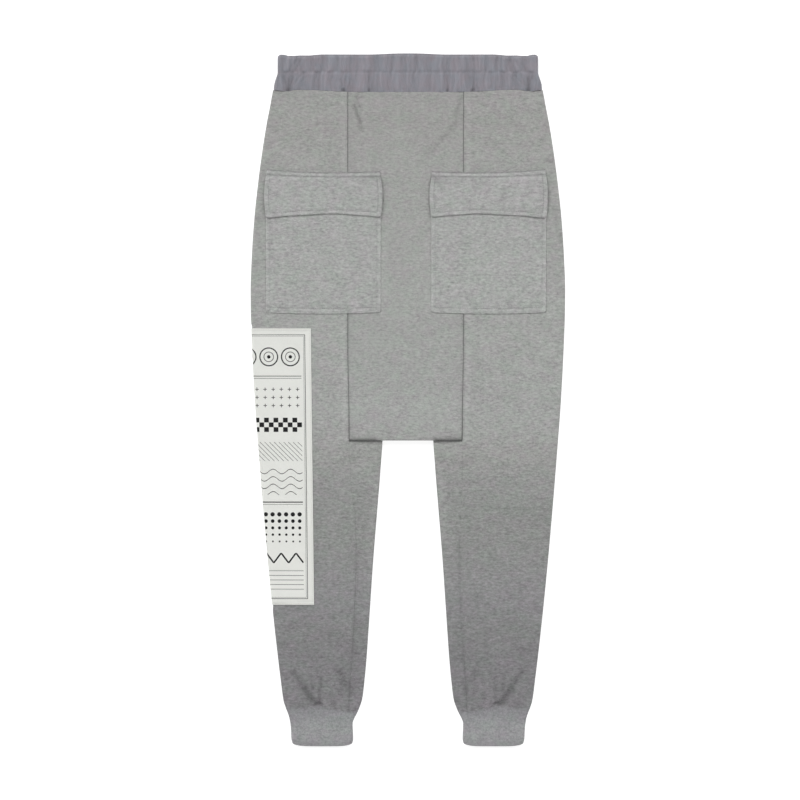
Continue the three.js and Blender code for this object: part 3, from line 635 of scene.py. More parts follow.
def back_leg(name, side):
    down = LEG_ROWS[:, None]
    fold = side_fold(side, down)
    seam = seam_line(side, down) + STITCHED_GAP / 2
    arc = round_fold(*fold, np.linspace(4, 90, 12)[None, NOT_LAST])
    across = np.concatenate([columns(fold[0], seam + EDGE[-1], 57, NOT_LAST), seam + EDGE[None, ::-1]],
                            axis=1)
    from_seam = across - seam
    ridge = SEAM_RIDGE * plateau(0, 2, SEAM_ALLOWANCE - 2, SEAM_ALLOWANCE, from_seam)
    eased = gathered_in(side * across, down) - leg_creases(side, across, down)
    up = back_height(side, across, down) + ridge
    up = up + rise(0, CLEAR_OF_FOLD, fold[0] - across) * eased
    places = side_by_side(arc, flat_strip(across, up, 1))
    from_seam = np.concatenate([np.full(arc[0].shape, NO_SEAM), from_seam], axis=1)
    sunk, shade = seams_sink(from_seam, down)
    shade = shade + crease_shade(side, places[0], down)
    return shell(name, *through(side, down, *places, sunk=sunk), shade=shade)


def cloth_area(cloth):
    """The flat area of a closed thin wall: half of its whole surface, in square metres."""
    return sum(face.area for face in cloth.data.polygons) / 2


def laid(cloth, finish, node, slot, width, length, rests_on, held="laid", with_pieces=()):
    """Gives a cloth piece its finish and ties it to the frame; width and length are the size it was cut to,
    in millimetres."""
    cloth.data.materials.append(finish)
    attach(cloth, "root")
    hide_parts(node)
    area = min(cloth_area(cloth), width * length * 1e-6)
    width * 0.001
    length * 0.001


BACK_LEG_CUT = (156, 910)
for name, side in SIDES:
    leg = back_leg("back_leg_cloth_" + name, side)
    laid(leg, leg_fleece, "back_leg_" + name, "fleece", *BACK_LEG_CUT, ["front_leg_cloth_" + name])


# The fronts of the legs lie underneath, cut from the same fleece. Below the crotch each carries
# the crotch extension, which goes round the inner side of the leg and up to the inseam on its back.

UNDER_CORNER_REACH = 24
UNDER_CORNER_FROM_ABOVE = 40
UNDER_CORNER_FULL_ABOVE = 7
PATCH_WIDTH = 154
PATCH_EDGE_AT_TOP = 143.3
PATCH_EDGE_AT_BOTTOM = 138.6
LEG_INTO_MOUTH = 6
# Painted shadow on the legs just below the panel's lip, and painted light beside the inner fold and in a spot
# near it at the knee
MOUTH_SHADE = 0.26
MOUTH_SHADE_REACH = 3.4
EASE_BY_SEAM = 16
INSIDE_PALER = 0.1
INSIDE_PALER_REACH = 12
PALE_SPOT_LIGHT = 0.08
PALE_SPOT_DOWN = 664
FACES_UP = 0.9


def patch_back_edge(down):
    """Where the patch ends on the back of the leg."""
    share = (down - PATCH_TOP) / (PATCH_BOTTOM - PATCH_TOP)
    return mix(PATCH_EDGE_AT_TOP, PATCH_EDGE_AT_BOTTOM, share)


def patch_under_edge(down):
    """Where the patch ends on the front of the leg."""
    level = np.clip(down, PATCH_TOP, PATCH_BOTTOM)
    return 2 * outline(SIDE_OUTLINE, level) - patch_back_edge(level) - PATCH_WIDTH


def under_height(side, across, down):
    """How high the front of a leg lies: over the patch, and towards the panel's corner."""
    edge = patch_under_edge(down)
    over_patch = patch_lift(side, down) * rise(edge - PATCH_RAMP, edge - PATCH_CLEAR, across)
    above = rise(CROTCH - UNDER_CORNER_FROM_ABOVE, CROTCH - UNDER_CORNER_FULL_ABOVE, down)
    by_seam = 1 - rise(0, UNDER_CORNER_REACH, across - seam_line(side, down))
    return np.maximum(over_patch, EXTENSION_LOW * above * held_by_mouth(down) * by_seam)


def extension_height(side, across, down):
    """How high the face of the crotch extension lies on the back of the leg."""
    seam = seam_line(side, down)
    free = back_height(side, np.minimum(across, seam), down)
    by_seam = 1 - rise(0, EASE_BY_SEAM, seam - across)
    below_mouth = rise(CROTCH + 0.5, CROTCH + HELD_BELOW_MOUTH, down)
    free = free - (CORNER_HEIGHT - BODY_HEIGHT) * near_corner(down) * (1 - by_seam * below_mouth)
    low = mix(EXTENSION_HIGH, CORNER_HEIGHT - 0.3, by_seam * below_mouth)
    return mix(free, low, held_by_mouth(down))


def front_leg(name, side):
    top = CROTCH - LEG_INTO_MOUTH
    rows = np.unique(np.append(LEG_ROWS, top))
    down = rows[:, None]
    fold = side_fold(side, down)
    inside = inside_fold(down)
    seam = seam_line(side, down)
    end = seam - STITCHED_GAP / 2
    edge = patch_under_edge(down)
    arc = round_fold(*fold, np.linspace(-4, -90, 10)[None, NOT_LAST])
    across = np.concatenate([
        columns(fold[0], edge - PATCH_CLEAR, 7),
        columns(edge - PATCH_CLEAR, edge - PATCH_RAMP, 6, NOT_FIRST),
        columns(edge - PATCH_RAMP, seam + STITCHED_GAP / 2, 8, NOT_FIRST),
    ], axis=1)
    main = flat_strip(across, under_height(side, across, down), -1)
    under = flat_strip(columns(seam - 3, inside[0], 6, NOT_LAST), inside[1] - inside[2], -1)
    turn = round_fold(*inside, np.linspace(-90, -270, 15)[None, NOT_LAST])
    back = np.concatenate([columns(inside[0], end - EDGE[-1], 15, NOT_LAST), end - EDGE[None, ::-1]],
                          axis=1)
    eased = gathered_in(side * back, down) - leg_creases(side, back, down)
    up = extension_height(side, back, down) + rise(0, CLEAR_OF_FOLD, back - inside[0]) * eased
    places = side_by_side(arc, main, under, turn, flat_strip(back, up, 1))
    across_here = places[0]

    plain = across_here.shape[1] - back.shape[1]
    from_seam = np.concatenate([np.full((len(rows), plain), NO_SEAM), end - back], axis=1)
    sunk, shade = seams_sink(from_seam, down)
    sunk = sunk * (1 - held_by_mouth(down) * (down > top))
    # Painted shadow just below the lip of the panel's mouth, and painted light by the inner fold and in a
    # spot near the knee
    below_lip = line(down - CROTCH, MOUTH_SHADE_REACH) * (down > CROTCH - 2)
    painted_lip_shadow = MOUTH_SHADE * below_lip * rise(0, 9, end - across_here)
    by_fold = line(across_here - inside[0], INSIDE_PALER_REACH)
    painted_light = INSIDE_PALER * plateau(CROTCH + 25, CROTCH + 60, CROTCH + 130, CROTCH + 240, down) * by_fold
    painted_pale_spot = PALE_SPOT_LIGHT * line(across_here - inside[0] - 6, 5.5) * line(down - PALE_SPOT_DOWN, 20)
    on_top = places[3] > FACES_UP
    shade = shade * (down > CROTCH)
    shade = shade + on_top * (crease_shade(side, across_here, down) + painted_lip_shadow - painted_light - painted_pale_spot)

    used = np.ones((len(rows) - 1, across_here.shape[1] - 1), bool)
    main_columns = arc[0].shape[1] + across.shape[1]
    used[rows[:-1] < top, main_columns - 1:] = False
    return shell(name, *through(side, down, *places, sunk=sunk), used, shade=shade)


FRONT_LEG_CUT = (245, 910)
for name, side in SIDES:
    leg = front_leg("front_leg_cloth_" + name, side)
    laid(leg, leg_fleece, "front_leg_" + name, "fleece", *FRONT_LEG_CUT, ["floor"])


# The centre panel is one strip of the same fleece. It goes down the back, is tucked in between the
# legs at the crotch, and comes out again to go up the front to the waist.

TUCK_DEPTH = 38
TUCK_FOLD_GAP = 0.2
MOUTH_FLAT = 8
MOUTH_RISE = 75
MOUTH_TOP = 6 * FLEECE + 5 * SEAM_GAP
UPPER_RUN = MOUTH_TOP - 2 * FLEECE - SEAM_GAP
LOWER_RUN = 2 * FLEECE + SEAM_GAP
TUCK_FOLD_UP = LOWER_RUN + 2 * TUCK_FOLD_GAP
# Painted shade on the lip where it lies over the legs, in and beside the seams and in the creases, and
# painted light beside the pockets' inner edges
TURN_SHADE = 0.5
POCKET_EDGE = 37.5
BESIDE_POCKET_PALER = 0.045
BACK_SEAM_SHADE = 0.22
FRONT_SEAM_SHADE = 0.22
FRONT_SEAM_SUNK = 0.6
BESIDE_SEAM_SHADE = 0.035
CREASE_SHADE = 0.1
# Creases as on the legs, but across from the panel's own middle
PANEL_CREASES = [
    (-76, 80, -67, 104, 2.8, 2.6),
    (-67, 104, -64.5, 117, 2.8, 1.6),
    (-73, 66, -65.5, 86, 2.2, 1.6),
    (81, 72, 72.5, 110, 3.8, 1.2),
    (72.5, 110, 50, 133, 5.0, 1.0),
    (50, 133, 35, 153, 5.5, 0.7),
]


def panel_back_height(across, down):
    """How high the panel's face lies on the back, up to the lip of its mouth."""
    tucked = 1 - rise(MOUTH_FLAT, MOUTH_RISE, CROTCH - down)
    height = mix(BODY_HEIGHT, MOUTH_TOP, tucked) + (1 - tucked) * lie(PANEL_SHIFT + across, down)
    puckers = gathered_in(PANEL_SHIFT + across, down)
    return height + puckers - troughs(PANEL_CREASES, across, down)


def beside_pockets(across, down):
    """A share that is whole in a band between the pockets."""
    from_pocket = POCKET_EDGE - np.abs(across)
    return line(from_pocket - 3, 5) * plateau(235, 300, 378, 400, down)


def panel_runs():
    """The panel's course from the back waist to the front waist: down, up, and which way is out.
    Also how many of its points are on the back."""
    top = WAIST_SEAM + STITCHED_GAP / 2
    back = np.concatenate([stations(top, 158, 1.9, fine_end=False), np.arange(161, CROTCH - 12, 3.2),
                           [CROTCH - 8, CROTCH - 4]])
    lip = FLEECE + SEAM_GAP / 2
    lip_turn = np.radians(np.linspace(90, 270, 17))
    lip_down = CROTCH - lip - lip * np.cos(lip_turn)
    inside = np.linspace(MOUTH_FLAT - 4, TUCK_DEPTH - 3, 10)
    lowered = rise(MOUTH_FLAT, TUCK_DEPTH, inside)
    fold_turn = np.radians(np.linspace(90, -90, 9))
    fold_down = CROTCH - TUCK_DEPTH - TUCK_FOLD_GAP * np.cos(fold_turn)
    front = np.linspace(CROTCH - 8, top, 60)
    cos, sin = np.cos(lip_turn), np.sin(lip_turn)
    runs = [
        (back, 0.0, 0.0, 1.0),
        (lip_down, MOUTH_TOP - lip + lip * sin, cos, sin),
        (CROTCH - inside, mix(UPPER_RUN, TUCK_FOLD_UP + TUCK_FOLD_GAP, lowered), 0.0, -1.0),
        (fold_down, TUCK_FOLD_UP + TUCK_FOLD_GAP * np.sin(fold_turn), -np.cos(fold_turn), -np.sin(fold_turn)),
        (CROTCH - inside[::-1], mix(LOWER_RUN, TUCK_FOLD_UP - TUCK_FOLD_GAP, lowered)[::-1], 0.0, 1.0),
        (lip_down, lip + lip * sin, cos, sin),
        (front, 0.0, 0.0, -1.0),
    ]
    runs = [np.broadcast_arrays(*run) for run in runs]
    return [np.concatenate(parts)[:, None] for parts in zip(*runs)], len(back)


def centre_panel():
    (down, up, out_y, out_up), back_rows = panel_runs()
    half = panel_half(down) - STITCHED_GAP / 2
    share = np.linspace(-1, 1, 100)[None, BETWEEN_ENDS]
    across = np.concatenate([-half + EDGE[None, :], share * (half - EDGE[-1]), half - EDGE[None, ::-1]],
                            axis=1)
    on_back = np.arange(len(down))[:, None] < back_rows
    up = np.where(on_back, panel_back_height(across, down), up)
    edge = half - np.abs(across)
    into_seams = np.maximum(rolled(edge, PANEL_SEAM_SUNK), rolled(down - down[0], WAIST_SEAM_SUNK))
    sunk = np.where(on_back, into_seams, rolled(edge, FRONT_SEAM_SUNK))

    # Painted shade in and beside the seams and in the creases, painted light beside the pockets' inner edges,
    # and painted shade on the lip over the legs
    in_seam = BACK_SEAM_SHADE * line(edge, seam_shade_half(down))
    beside_seam = BESIDE_SEAM_SHADE * line(edge, 7.5)
    beside_seam = beside_seam + BELOW_POCKET_SHADE * below_pocket(down) * line(edge, 5)
    shade = in_seam + beside_seam + CREASE_SHADE * troughs(PANEL_CREASES, across, down)
    shade = shade - BESIDE_POCKET_PALER * beside_pockets(across, down)
    shade = np.where(on_back, shade, FRONT_SEAM_SHADE * line(edge, 0.9))
    over_legs = rise(37, 46, np.abs(across)) * rise(CROTCH - 5.5, CROTCH - 1.5, down)
    shade = shade + np.where(up > MOUTH_TOP / 2, TURN_SHADE * over_legs, 0)
    y = LENGTH / 2 - down
    x = PANEL_SHIFT + across
    outer = np.stack(np.broadcast_arrays(x, y - sunk * out_y, up - sunk * out_up), -1)
    inner = np.stack(np.broadcast_arrays(x, y - FLEECE * out_y, up - FLEECE * out_up), -1)
    return shell("centre_panel_cloth", outer, inner, shade=shade)


PANEL_TONES = BODY_TONES[:3] + [(350, (162, 164, 161)), (410, (160.7, 162.8, 159.8)),
                                (540, (159.7, 161.5, 159.2)), (573, (159, 160.5, 158))]
PANEL_CUT = (172, 1107)
panel_fleece = fleece("panel_fleece", PANEL_TONES, fleck=0.84, nap=0.9, streak=(170, 355))
laid(centre_panel(), panel_fleece, "centre_panel", "fleece", *PANEL_CUT,
     ["front_leg_cloth_left", "front_leg_cloth_right", "floor"])


# Two patch pockets with flaps are sewn over the panel's seams. They are cut from the same fleece,
# its nap brushed up more. A flap is doubled, turned and topstitched round, and sewn down at its top.

POCKET_WIDTH = 170
POCKET_FROM_MIDDLE = 122.2
POCKETS_SHIFT = -2.8
POCKET_TOP = 192
POCKET_BOTTOM = 384.2
POCKET_SAG = 2
POCKET_FULLNESS = 1.1
POCKET_EDGE_SHARE = 0.18
POCKET_HEM_SHARE = 0.3
POCKET_STITCH = 6
POCKET_HEM_STITCH = 8
POCKET_CORNER = 5
# Painted light on the pocket's hem and sides, which lifts the shade along its edges
POCKET_HEM_PALER = 0.62
POCKET_SIDE_PALER = 0.18
FLAP_CLOTH = 2.4
FLAP_WIDTH = 172
FLAP_TOP = 173.8
FLAP_BOTTOM = 244.2
FLAP_TILT = 3.0
FLAP_TOP_SAG = 3.4
FLAP_BOTTOM_ARCH = 5.5
FLAP_BULGE = 3.2
FLAP_RAMP_START = 14
FLAP_RAMP_END = 3
FLAP_STITCH = 6.5
FLAP_TOP_STITCH = 7.6
FLAP_CORNER = 4
FLAP_TOP_SHADE = 0.46
CORNER_SQUARENESS = 2.4
HEM_PUFF = 0.3
STITCH_SINK = 0.6


def stitched(distance, half=1.5, sink=STITCH_SINK):
    """How far a row of stitches draws the cloth in."""
    return sink * np.exp(-((distance / half) ** 2))


def cloth_under(x, down):
    """How high the legs' backs lie under the pockets and flaps."""
    left = back_height(-1, np.abs(x), down)
    right = back_height(1, np.abs(x), down)
    return np.where(x < 0, left, right)


def pocket_height(x, down, middle):
    """How high a pocket's face lies, fullest in its middle."""
    from_edge = 0.5 - np.abs(x - middle) / POCKET_WIDTH
    from_hem = 1 - (down - POCKET_TOP) / (POCKET_BOTTOM - POCKET_TOP)
    full = rise(0, POCKET_EDGE_SHARE, from_edge) * rise(0, POCKET_HEM_SHARE, from_hem)
    return cloth_under(x, down) + SEAM_GAP + FLEECE + POCKET_FULLNESS * full


def raised_piece(name, x, down, low, high, shade):
    y = LENGTH / 2 - down
    return shell(name, np.stack([x, y, high], -1), np.stack([x, y, low], -1), shade=shade)


def round_corner(from_side, from_hem, radius):
    """How far cloth at a lower corner is turned in from its side and up from its hem."""
    by_side = np.clip(1 - from_side / radius, 0, None)
    by_hem = np.clip(1 - from_hem / radius, 0, None)
    inwards = radius * by_side * (1 - np.sqrt(1 - by_hem ** 2 / CORNER_SQUARENESS))
    upwards = radius * by_hem * (1 - np.sqrt(1 - by_side ** 2 / CORNER_SQUARENESS))
    return inwards, upwards


def inwards_share(share, middle):
    """A share across a pocket or flap, from its outer side to its inner one."""
    return share if middle < 0 else 1 - share


def flap_arch(inward):
    """How far a flap's loose edge is drawn up."""
    return FLAP_BOTTOM_ARCH * np.sin(np.pi * np.clip(inward, 0, 1) ** 1.3)


def pocket(name, middle):
    length = POCKET_BOTTOM - POCKET_TOP
    across = stations(0, POCKET_WIDTH, 2.6)[None, :]
    drop = stations(0, length, 2.6)[:, None]
    share = across / POCKET_WIDTH
    sag = POCKET_SAG * np.sin(np.pi * share)
    from_side = np.minimum(across, POCKET_WIDTH - across)
    from_hem = length - drop
    turned_across, turned_up = round_corner(from_side, from_hem, POCKET_CORNER)
    x = middle - POCKET_WIDTH / 2 + across + np.sign(0.5 - share) * turned_across
    down = POCKET_TOP + drop * (1 + sag / length) - turned_up
    height = pocket_height(x, down, middle)
    sewn = np.maximum(stitched(from_side - POCKET_STITCH), stitched(from_hem - POCKET_HEM_STITCH))
    turned_in = np.minimum(from_side, from_hem * POCKET_STITCH / POCKET_HEM_STITCH)
    puff = HEM_PUFF * (1 - rise(POCKET_STITCH - 2, POCKET_STITCH, turned_in))
    edge = np.maximum(rolled(np.minimum(from_side, drop), 1.5, 4.0), rolled(from_hem, 1.5, 4.4))
    from_edge = np.minimum(from_side, from_hem)
    # Painted light along the edges, on the turned-in band and where the flap's loose edge shades the pocket,
    # and painted shade in the stitch line
    painted_light = np.where(from_hem < from_side, POCKET_HEM_PALER * line(from_edge, 1.3),
                     POCKET_SIDE_PALER * line(from_edge, 1.6))
    painted_light = painted_light + 0.025 * plateau(1, 2.2, POCKET_STITCH - 2, POCKET_STITCH, turned_in)
    inward = inwards_share(share, middle)
    under_flap = rise(1, 9, from_side) * line(down - FLAP_BOTTOM + flap_arch(inward) - 1, 2.6)
    shade = 0.02 * line(turned_in - POCKET_STITCH, 1.1) - painted_light - (0.09 + 0.08 * inward) * under_flap
    return raised_piece(name, x, down, height - FLEECE, height + puff - sewn - edge, shade)


def flap_low(x, down, middle):
    """How high a flap's underside lies, from the leg's back down on to the pocket."""
    over_pocket = rise(POCKET_TOP - FLAP_RAMP_START, POCKET_TOP - FLAP_RAMP_END, down)
    return mix(cloth_under(x, down), pocket_height(x, down, middle), over_pocket) + SEAM_GAP


def flap_place(share, drop, middle):
    """Its outer top corner sits highest, its sides bulge, and its loose edge is arched."""
    inward = inwards_share(share, middle)
    top = FLAP_TOP + FLAP_TILT * (inward - 0.5) + FLAP_TOP_SAG * np.sin(np.pi * inward)
    arch = flap_arch(inward)
    wave = 0.35 * np.sin(17 * inward + 1.1) * rise(0.6, 1, drop)
    width = FLAP_WIDTH - mix(4.5, 1.5, drop) + 2 * FLAP_BULGE * np.sin(np.pi * drop)
    return middle + width * (share - 0.5), mix(top, FLAP_BOTTOM - arch, drop) + wave


def flap_high(share, drop, middle, edge=True):
    """How high a flap's face lies, with or without the roll of its edge."""
    x, down = flap_place(share, drop, middle)
    length = FLAP_BOTTOM - FLAP_TOP
    from_side = np.minimum(share, 1 - share) * FLAP_WIDTH
    from_top = drop * length
    from_rest = np.minimum(from_side, length - from_top)
    sewn = np.maximum(stitched(from_top - FLAP_TOP_STITCH, 1.9, 0.6), stitched(from_rest - FLAP_STITCH))
    ridge = HEM_PUFF * (1 - rise(1, FLAP_TOP_STITCH, from_top))
    turned = np.maximum(rolled(from_top, 1.0), rolled(from_rest, 1.9)) if edge else 0
    return flap_low(x, down, middle) + FLAP_CLOTH + ridge - sewn - turned


def flap(name, middle):
    length = FLAP_BOTTOM - FLAP_TOP
    across = stations(0, FLAP_WIDTH, 2.0)[None, :]
    along = stations(0, length, 1.6)[:, None]
    share, drop = np.broadcast_arrays(across / FLAP_WIDTH, along / length)
    from_side = np.minimum(across, FLAP_WIDTH - across)
    from_hem = length - along
    x, down = flap_place(share, drop, middle)
    turned_across, turned_up = round_corner(from_side, from_hem, FLAP_CORNER)
    x = x + np.sign(0.5 - share) * turned_across
    down = down - turned_up
    turned_in = np.minimum(from_side, from_hem)
    low = flap_low(x, down, middle) + rolled(np.minimum(turned_in, along), 0.8) * 0.5

    inward = inwards_share(share, middle)
    # Painted shade along the sewn-down top, its row of stitches and just below it, and painted light on the
    # loose edge, the sides, the turned-in band and the ridge
    sewn = FLAP_TOP_SHADE * line(along, 2.1)
    sewn = sewn + (0.29 + 0.03 * inward) * line(along - FLAP_TOP_STITCH, 2.1)
    sewn = sewn + 0.05 * line(turned_in - FLAP_STITCH, 1.1)
    below_seam = (0.14 * inward ** 2 + 0.02) * line(along - FLAP_TOP_STITCH - 3.4, 3.4)
    on_ridge = plateau(1.2, 2.2, FLAP_TOP_STITCH - 2, FLAP_TOP_STITCH, along)
    on_edge = plateau(1, 2.2, FLAP_STITCH - 2, FLAP_STITCH, turned_in)
    at_hem = (0.12 + (0.17 + 0.15 * inward) * rise(1, 9, from_side)) * line(from_hem, 1.6)
    painted_light = at_hem + 0.03 * line(from_side, 1.2) + 0.03 * on_edge
    painted_light = painted_light + (0.1 + 0.08 * (1 - inward) ** 6) * on_ridge
    return raised_piece(name, x, down, low, flap_high(share, drop, middle), sewn + below_seam - painted_light)


STITCH_LENGTH = 2.7
STITCH_PITCH = 3.3
THREAD = 0.55
THREAD_SIDES = 6


def stitches(name, route, finish):
    """Short rounded stitches, all one mesh, laid along routes of points in millimetres."""
    around = np.linspace(0, 2 * np.pi, THREAD_SIDES + 1)[:-1]
    along = np.array([-0.5, -0.42, -0.2, 0.2, 0.42, 0.5])
    girth = np.array([0.25, 0.7, 1.0, 1.0, 0.7, 0.25])
    dive = np.array([-0.55, -0.2, 0, 0, -0.2, -0.55])
    points, faces = [], []
    for seam in route:
        steps = np.linalg.norm(np.diff(seam, axis=0), axis=1)
        length = np.concatenate([[0], np.cumsum(steps)])
        for at in np.arange(STITCH_PITCH / 2, length[-1] - STITCH_PITCH / 3, STITCH_PITCH):
            spots = at + np.array([-0.5, 0, 0.5]) * STITCH_LENGTH
            back, middle, ahead = (
                np.array([np.interp(spot, length, seam[:, axis]) for axis in range(3)]) for spot in spots)
            run = (ahead - back) / np.linalg.norm(ahead - back)
            across = np.cross((0, 0, 1), run)
            across = across / np.linalg.norm(across)
            out = np.cross(run, across)
            start = len(points)
            for part, size, sink in zip(along, girth, dive):
                centre = middle + run * part * STITCH_LENGTH + out * sink * THREAD
                for turn in around:
                    round_it = across * np.cos(turn) + out * np.sin(turn)
                    points.append((centre + round_it * THREAD / 2 * size) * 0.001)
            rings = start + np.arange(len(along) * THREAD_SIDES).reshape(len(along), THREAD_SIDES)
            for ring, following in zip(rings[:-1], rings[1:]):
                for step in range(THREAD_SIDES):
                    ahead_of = (step + 1) % THREAD_SIDES
                    faces.append((ring[step], ring[ahead_of], following[ahead_of], following[step]))
            faces += [rings[0][::-1], rings[-1]]
    mesh = bpy.data.meshes.new(name)
    mesh.from_pydata(points, [], [[int(corner) for corner in face] for face in faces])
    mesh.shade_smooth()
    mesh.materials.append(finish)
    piece = bpy.data.objects.new(name, mesh)
    bpy.context.scene.collection.objects.link(piece)
    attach(piece, "root")
    return piece


def thread_finish(name, colour):
    finish = begin_finish(name)
    twist = grain(2500, 2500, 2500, 1.0)
    end_finish(scaled(colour, 1 + twist * 0.12), twist, deep=0.0001, roughness=0.6, sheen=0.1)
    return finish


grey_thread = thread_finish("grey_thread", paint(134, 135, 134))
POCKET_TONES = [(175, (168.5, 169.5, 168)), (250, (167.5, 169.5, 167)), (385, (168, 170, 167.5))]
pocket_fleece = fleece("pocket_fleece", POCKET_TONES, fleck=1.12, nap=1.2)


def pocket_route(middle):
    """The rows of stitches down a pocket's sides and along its hem."""
    left = middle - POCKET_WIDTH / 2 + POCKET_STITCH
    right = middle + POCKET_WIDTH / 2 - POCKET_STITCH
    along_hem = np.linspace(left, right, 60)
    share = (along_hem - middle) / POCKET_WIDTH + 0.5
    hem = POCKET_BOTTOM + POCKET_SAG * np.sin(np.pi * share) - POCKET_HEM_STITCH
    side = np.linspace(FLAP_BOTTOM, hem[0], 40)
    route = []
    for x, down in ((np.full(40, left), side), (along_hem, hem), (np.full(40, right), side)):
        up = pocket_height(x, down, middle) - STITCH_SINK + THREAD * 0.35
        route.append(np.stack([x, LENGTH / 2 - down, up], -1))
    return route


def flap_route(middle):
    """The rows of stitches below a flap's top and round its other edges."""
    length = FLAP_BOTTOM - FLAP_TOP
    near, far = FLAP_TOP_STITCH / length, 1 - FLAP_STITCH / length
    left, right = FLAP_STITCH / FLAP_WIDTH, 1 - FLAP_STITCH / FLAP_WIDTH
    runs = [
        (np.linspace(0.01, 0.99, 90), np.full(90, near)),
        (np.full(40, left), np.linspace(near, far, 40)),
        (np.linspace(left, right, 90), np.full(90, far)),
        (np.full(40, right), np.linspace(far, near, 40)),
    ]
    route = []
    for share, drop in runs:
        x, down = flap_place(share, drop, middle)
        up = flap_high(share, drop, middle, edge=False) + THREAD * 0.2
        route.append(np.stack([x, LENGTH / 2 - down, up], -1))
    return route


POCKET_CUT = (170, 195)
FLAP_CUT = (176, 71)
for name, side in SIDES:
    middle = side * POCKET_FROM_MIDDLE + POCKETS_SHIFT
    bag = pocket("pocket_cloth_" + name, middle)
    cover = flap("flap_cloth_" + name, middle)
    bag_sewing = stitches("pocket_stitches_" + name, pocket_route(middle), grey_thread)
    flap_sewing = stitches("flap_stitches_" + name, flap_route(middle), grey_thread)
    laid(bag, pocket_fleece, "pocket_" + name, "pocket_fleece", *POCKET_CUT,
         ["back_leg_cloth_" + name, "centre_panel_cloth"], with_pieces=[bag_sewing])
    laid(cover, pocket_fleece, "flap_" + name, "pocket_fleece", *FLAP_CUT,
         ["pocket_cloth_" + name], with_pieces=[flap_sewing])


# A patch of off-white cotton with a black print is sewn round the outer side of the left leg, from
# its back to its front. Its edges are turned under and stitched down.

PATCH_CLOTH = 1.0
PATCH_HEM = 2.2
PATCH_HEM_RIDGE = 0.25
PATCH_CREASE = 0.45
PATCH_MARGIN = 9
PRINT_WIDTH = 157
PRINT_LEFT = 15
INK = (18, 18, 19)


def patch():
    side = -1
    length = PATCH_BOTTOM - PATCH_TOP
    drop = stations(0, length, 3.2)[:, None]
    down = PATCH_TOP + drop
    centre, centre_up, radius = side_fold(side, down)
    radius = radius + PATCH_LIFT
    edge, under_edge = patch_back_edge(down), patch_under_edge(down)
    on_back = np.concatenate([edge + EDGE[None, :], columns(edge + EDGE[-1], centre, 30, BETWEEN_ENDS)],
                             axis=1)
    turn = np.linspace(90, -90, 19)[None, :]
    under = np.concatenate([columns(centre, under_edge + EDGE[-1], 24, BETWEEN_ENDS),
                            under_edge + EDGE[None, ::-1]], axis=1)
    places = side_by_side(flat_strip(on_back, back_height(side, on_back, down) + PATCH_LIFT, 1),
                          round_fold(centre, centre_up, radius, turn), flat_strip(under, 0, -1))
    to_fold = centre - edge
    round_it = np.pi * radius
    from_edge = np.concatenate([on_back - edge, to_fold + round_it * (90 - turn) / 180,
                                to_fold + round_it + centre - under], axis=1)
    width = to_fold + round_it + centre - under_edge
    nearest = np.minimum(np.minimum(from_edge, width - from_edge), np.minimum(drop, length - drop))
    hem = PATCH_HEM_RIDGE * (1 - rise(PATCH_HEM, PATCH_HEM + 1, nearest))
    hem = hem - stitched(nearest - PATCH_HEM, 0.8, 0.3)
    on_top = places[3] > FACES_UP
    crease = PATCH_CREASE * line(drop - (length - 7) - from_edge * 0.09, 1.6) * (from_edge < 62)
    sunk = np.maximum(rolled(nearest, 0.7), rolled(length - drop, 0.9, 2.6)) + on_top * (crease - hem)
    outer, inner = through(side, down, *places, thickness=PATCH_CLOTH, sunk=sunk)
    turned = np.stack(np.broadcast_arrays(from_edge * 0.001, drop * 0.001), -1)
    # Painted shade along the edges, the row of stitches and the crease
    shade = 0.12 * line(nearest, 0.6) + 0.05 * line(nearest - PATCH_HEM, 0.7) + 0.25 * on_top * crease
    return shell("patch_cloth", outer, inner, turned=turned, shade=shade)


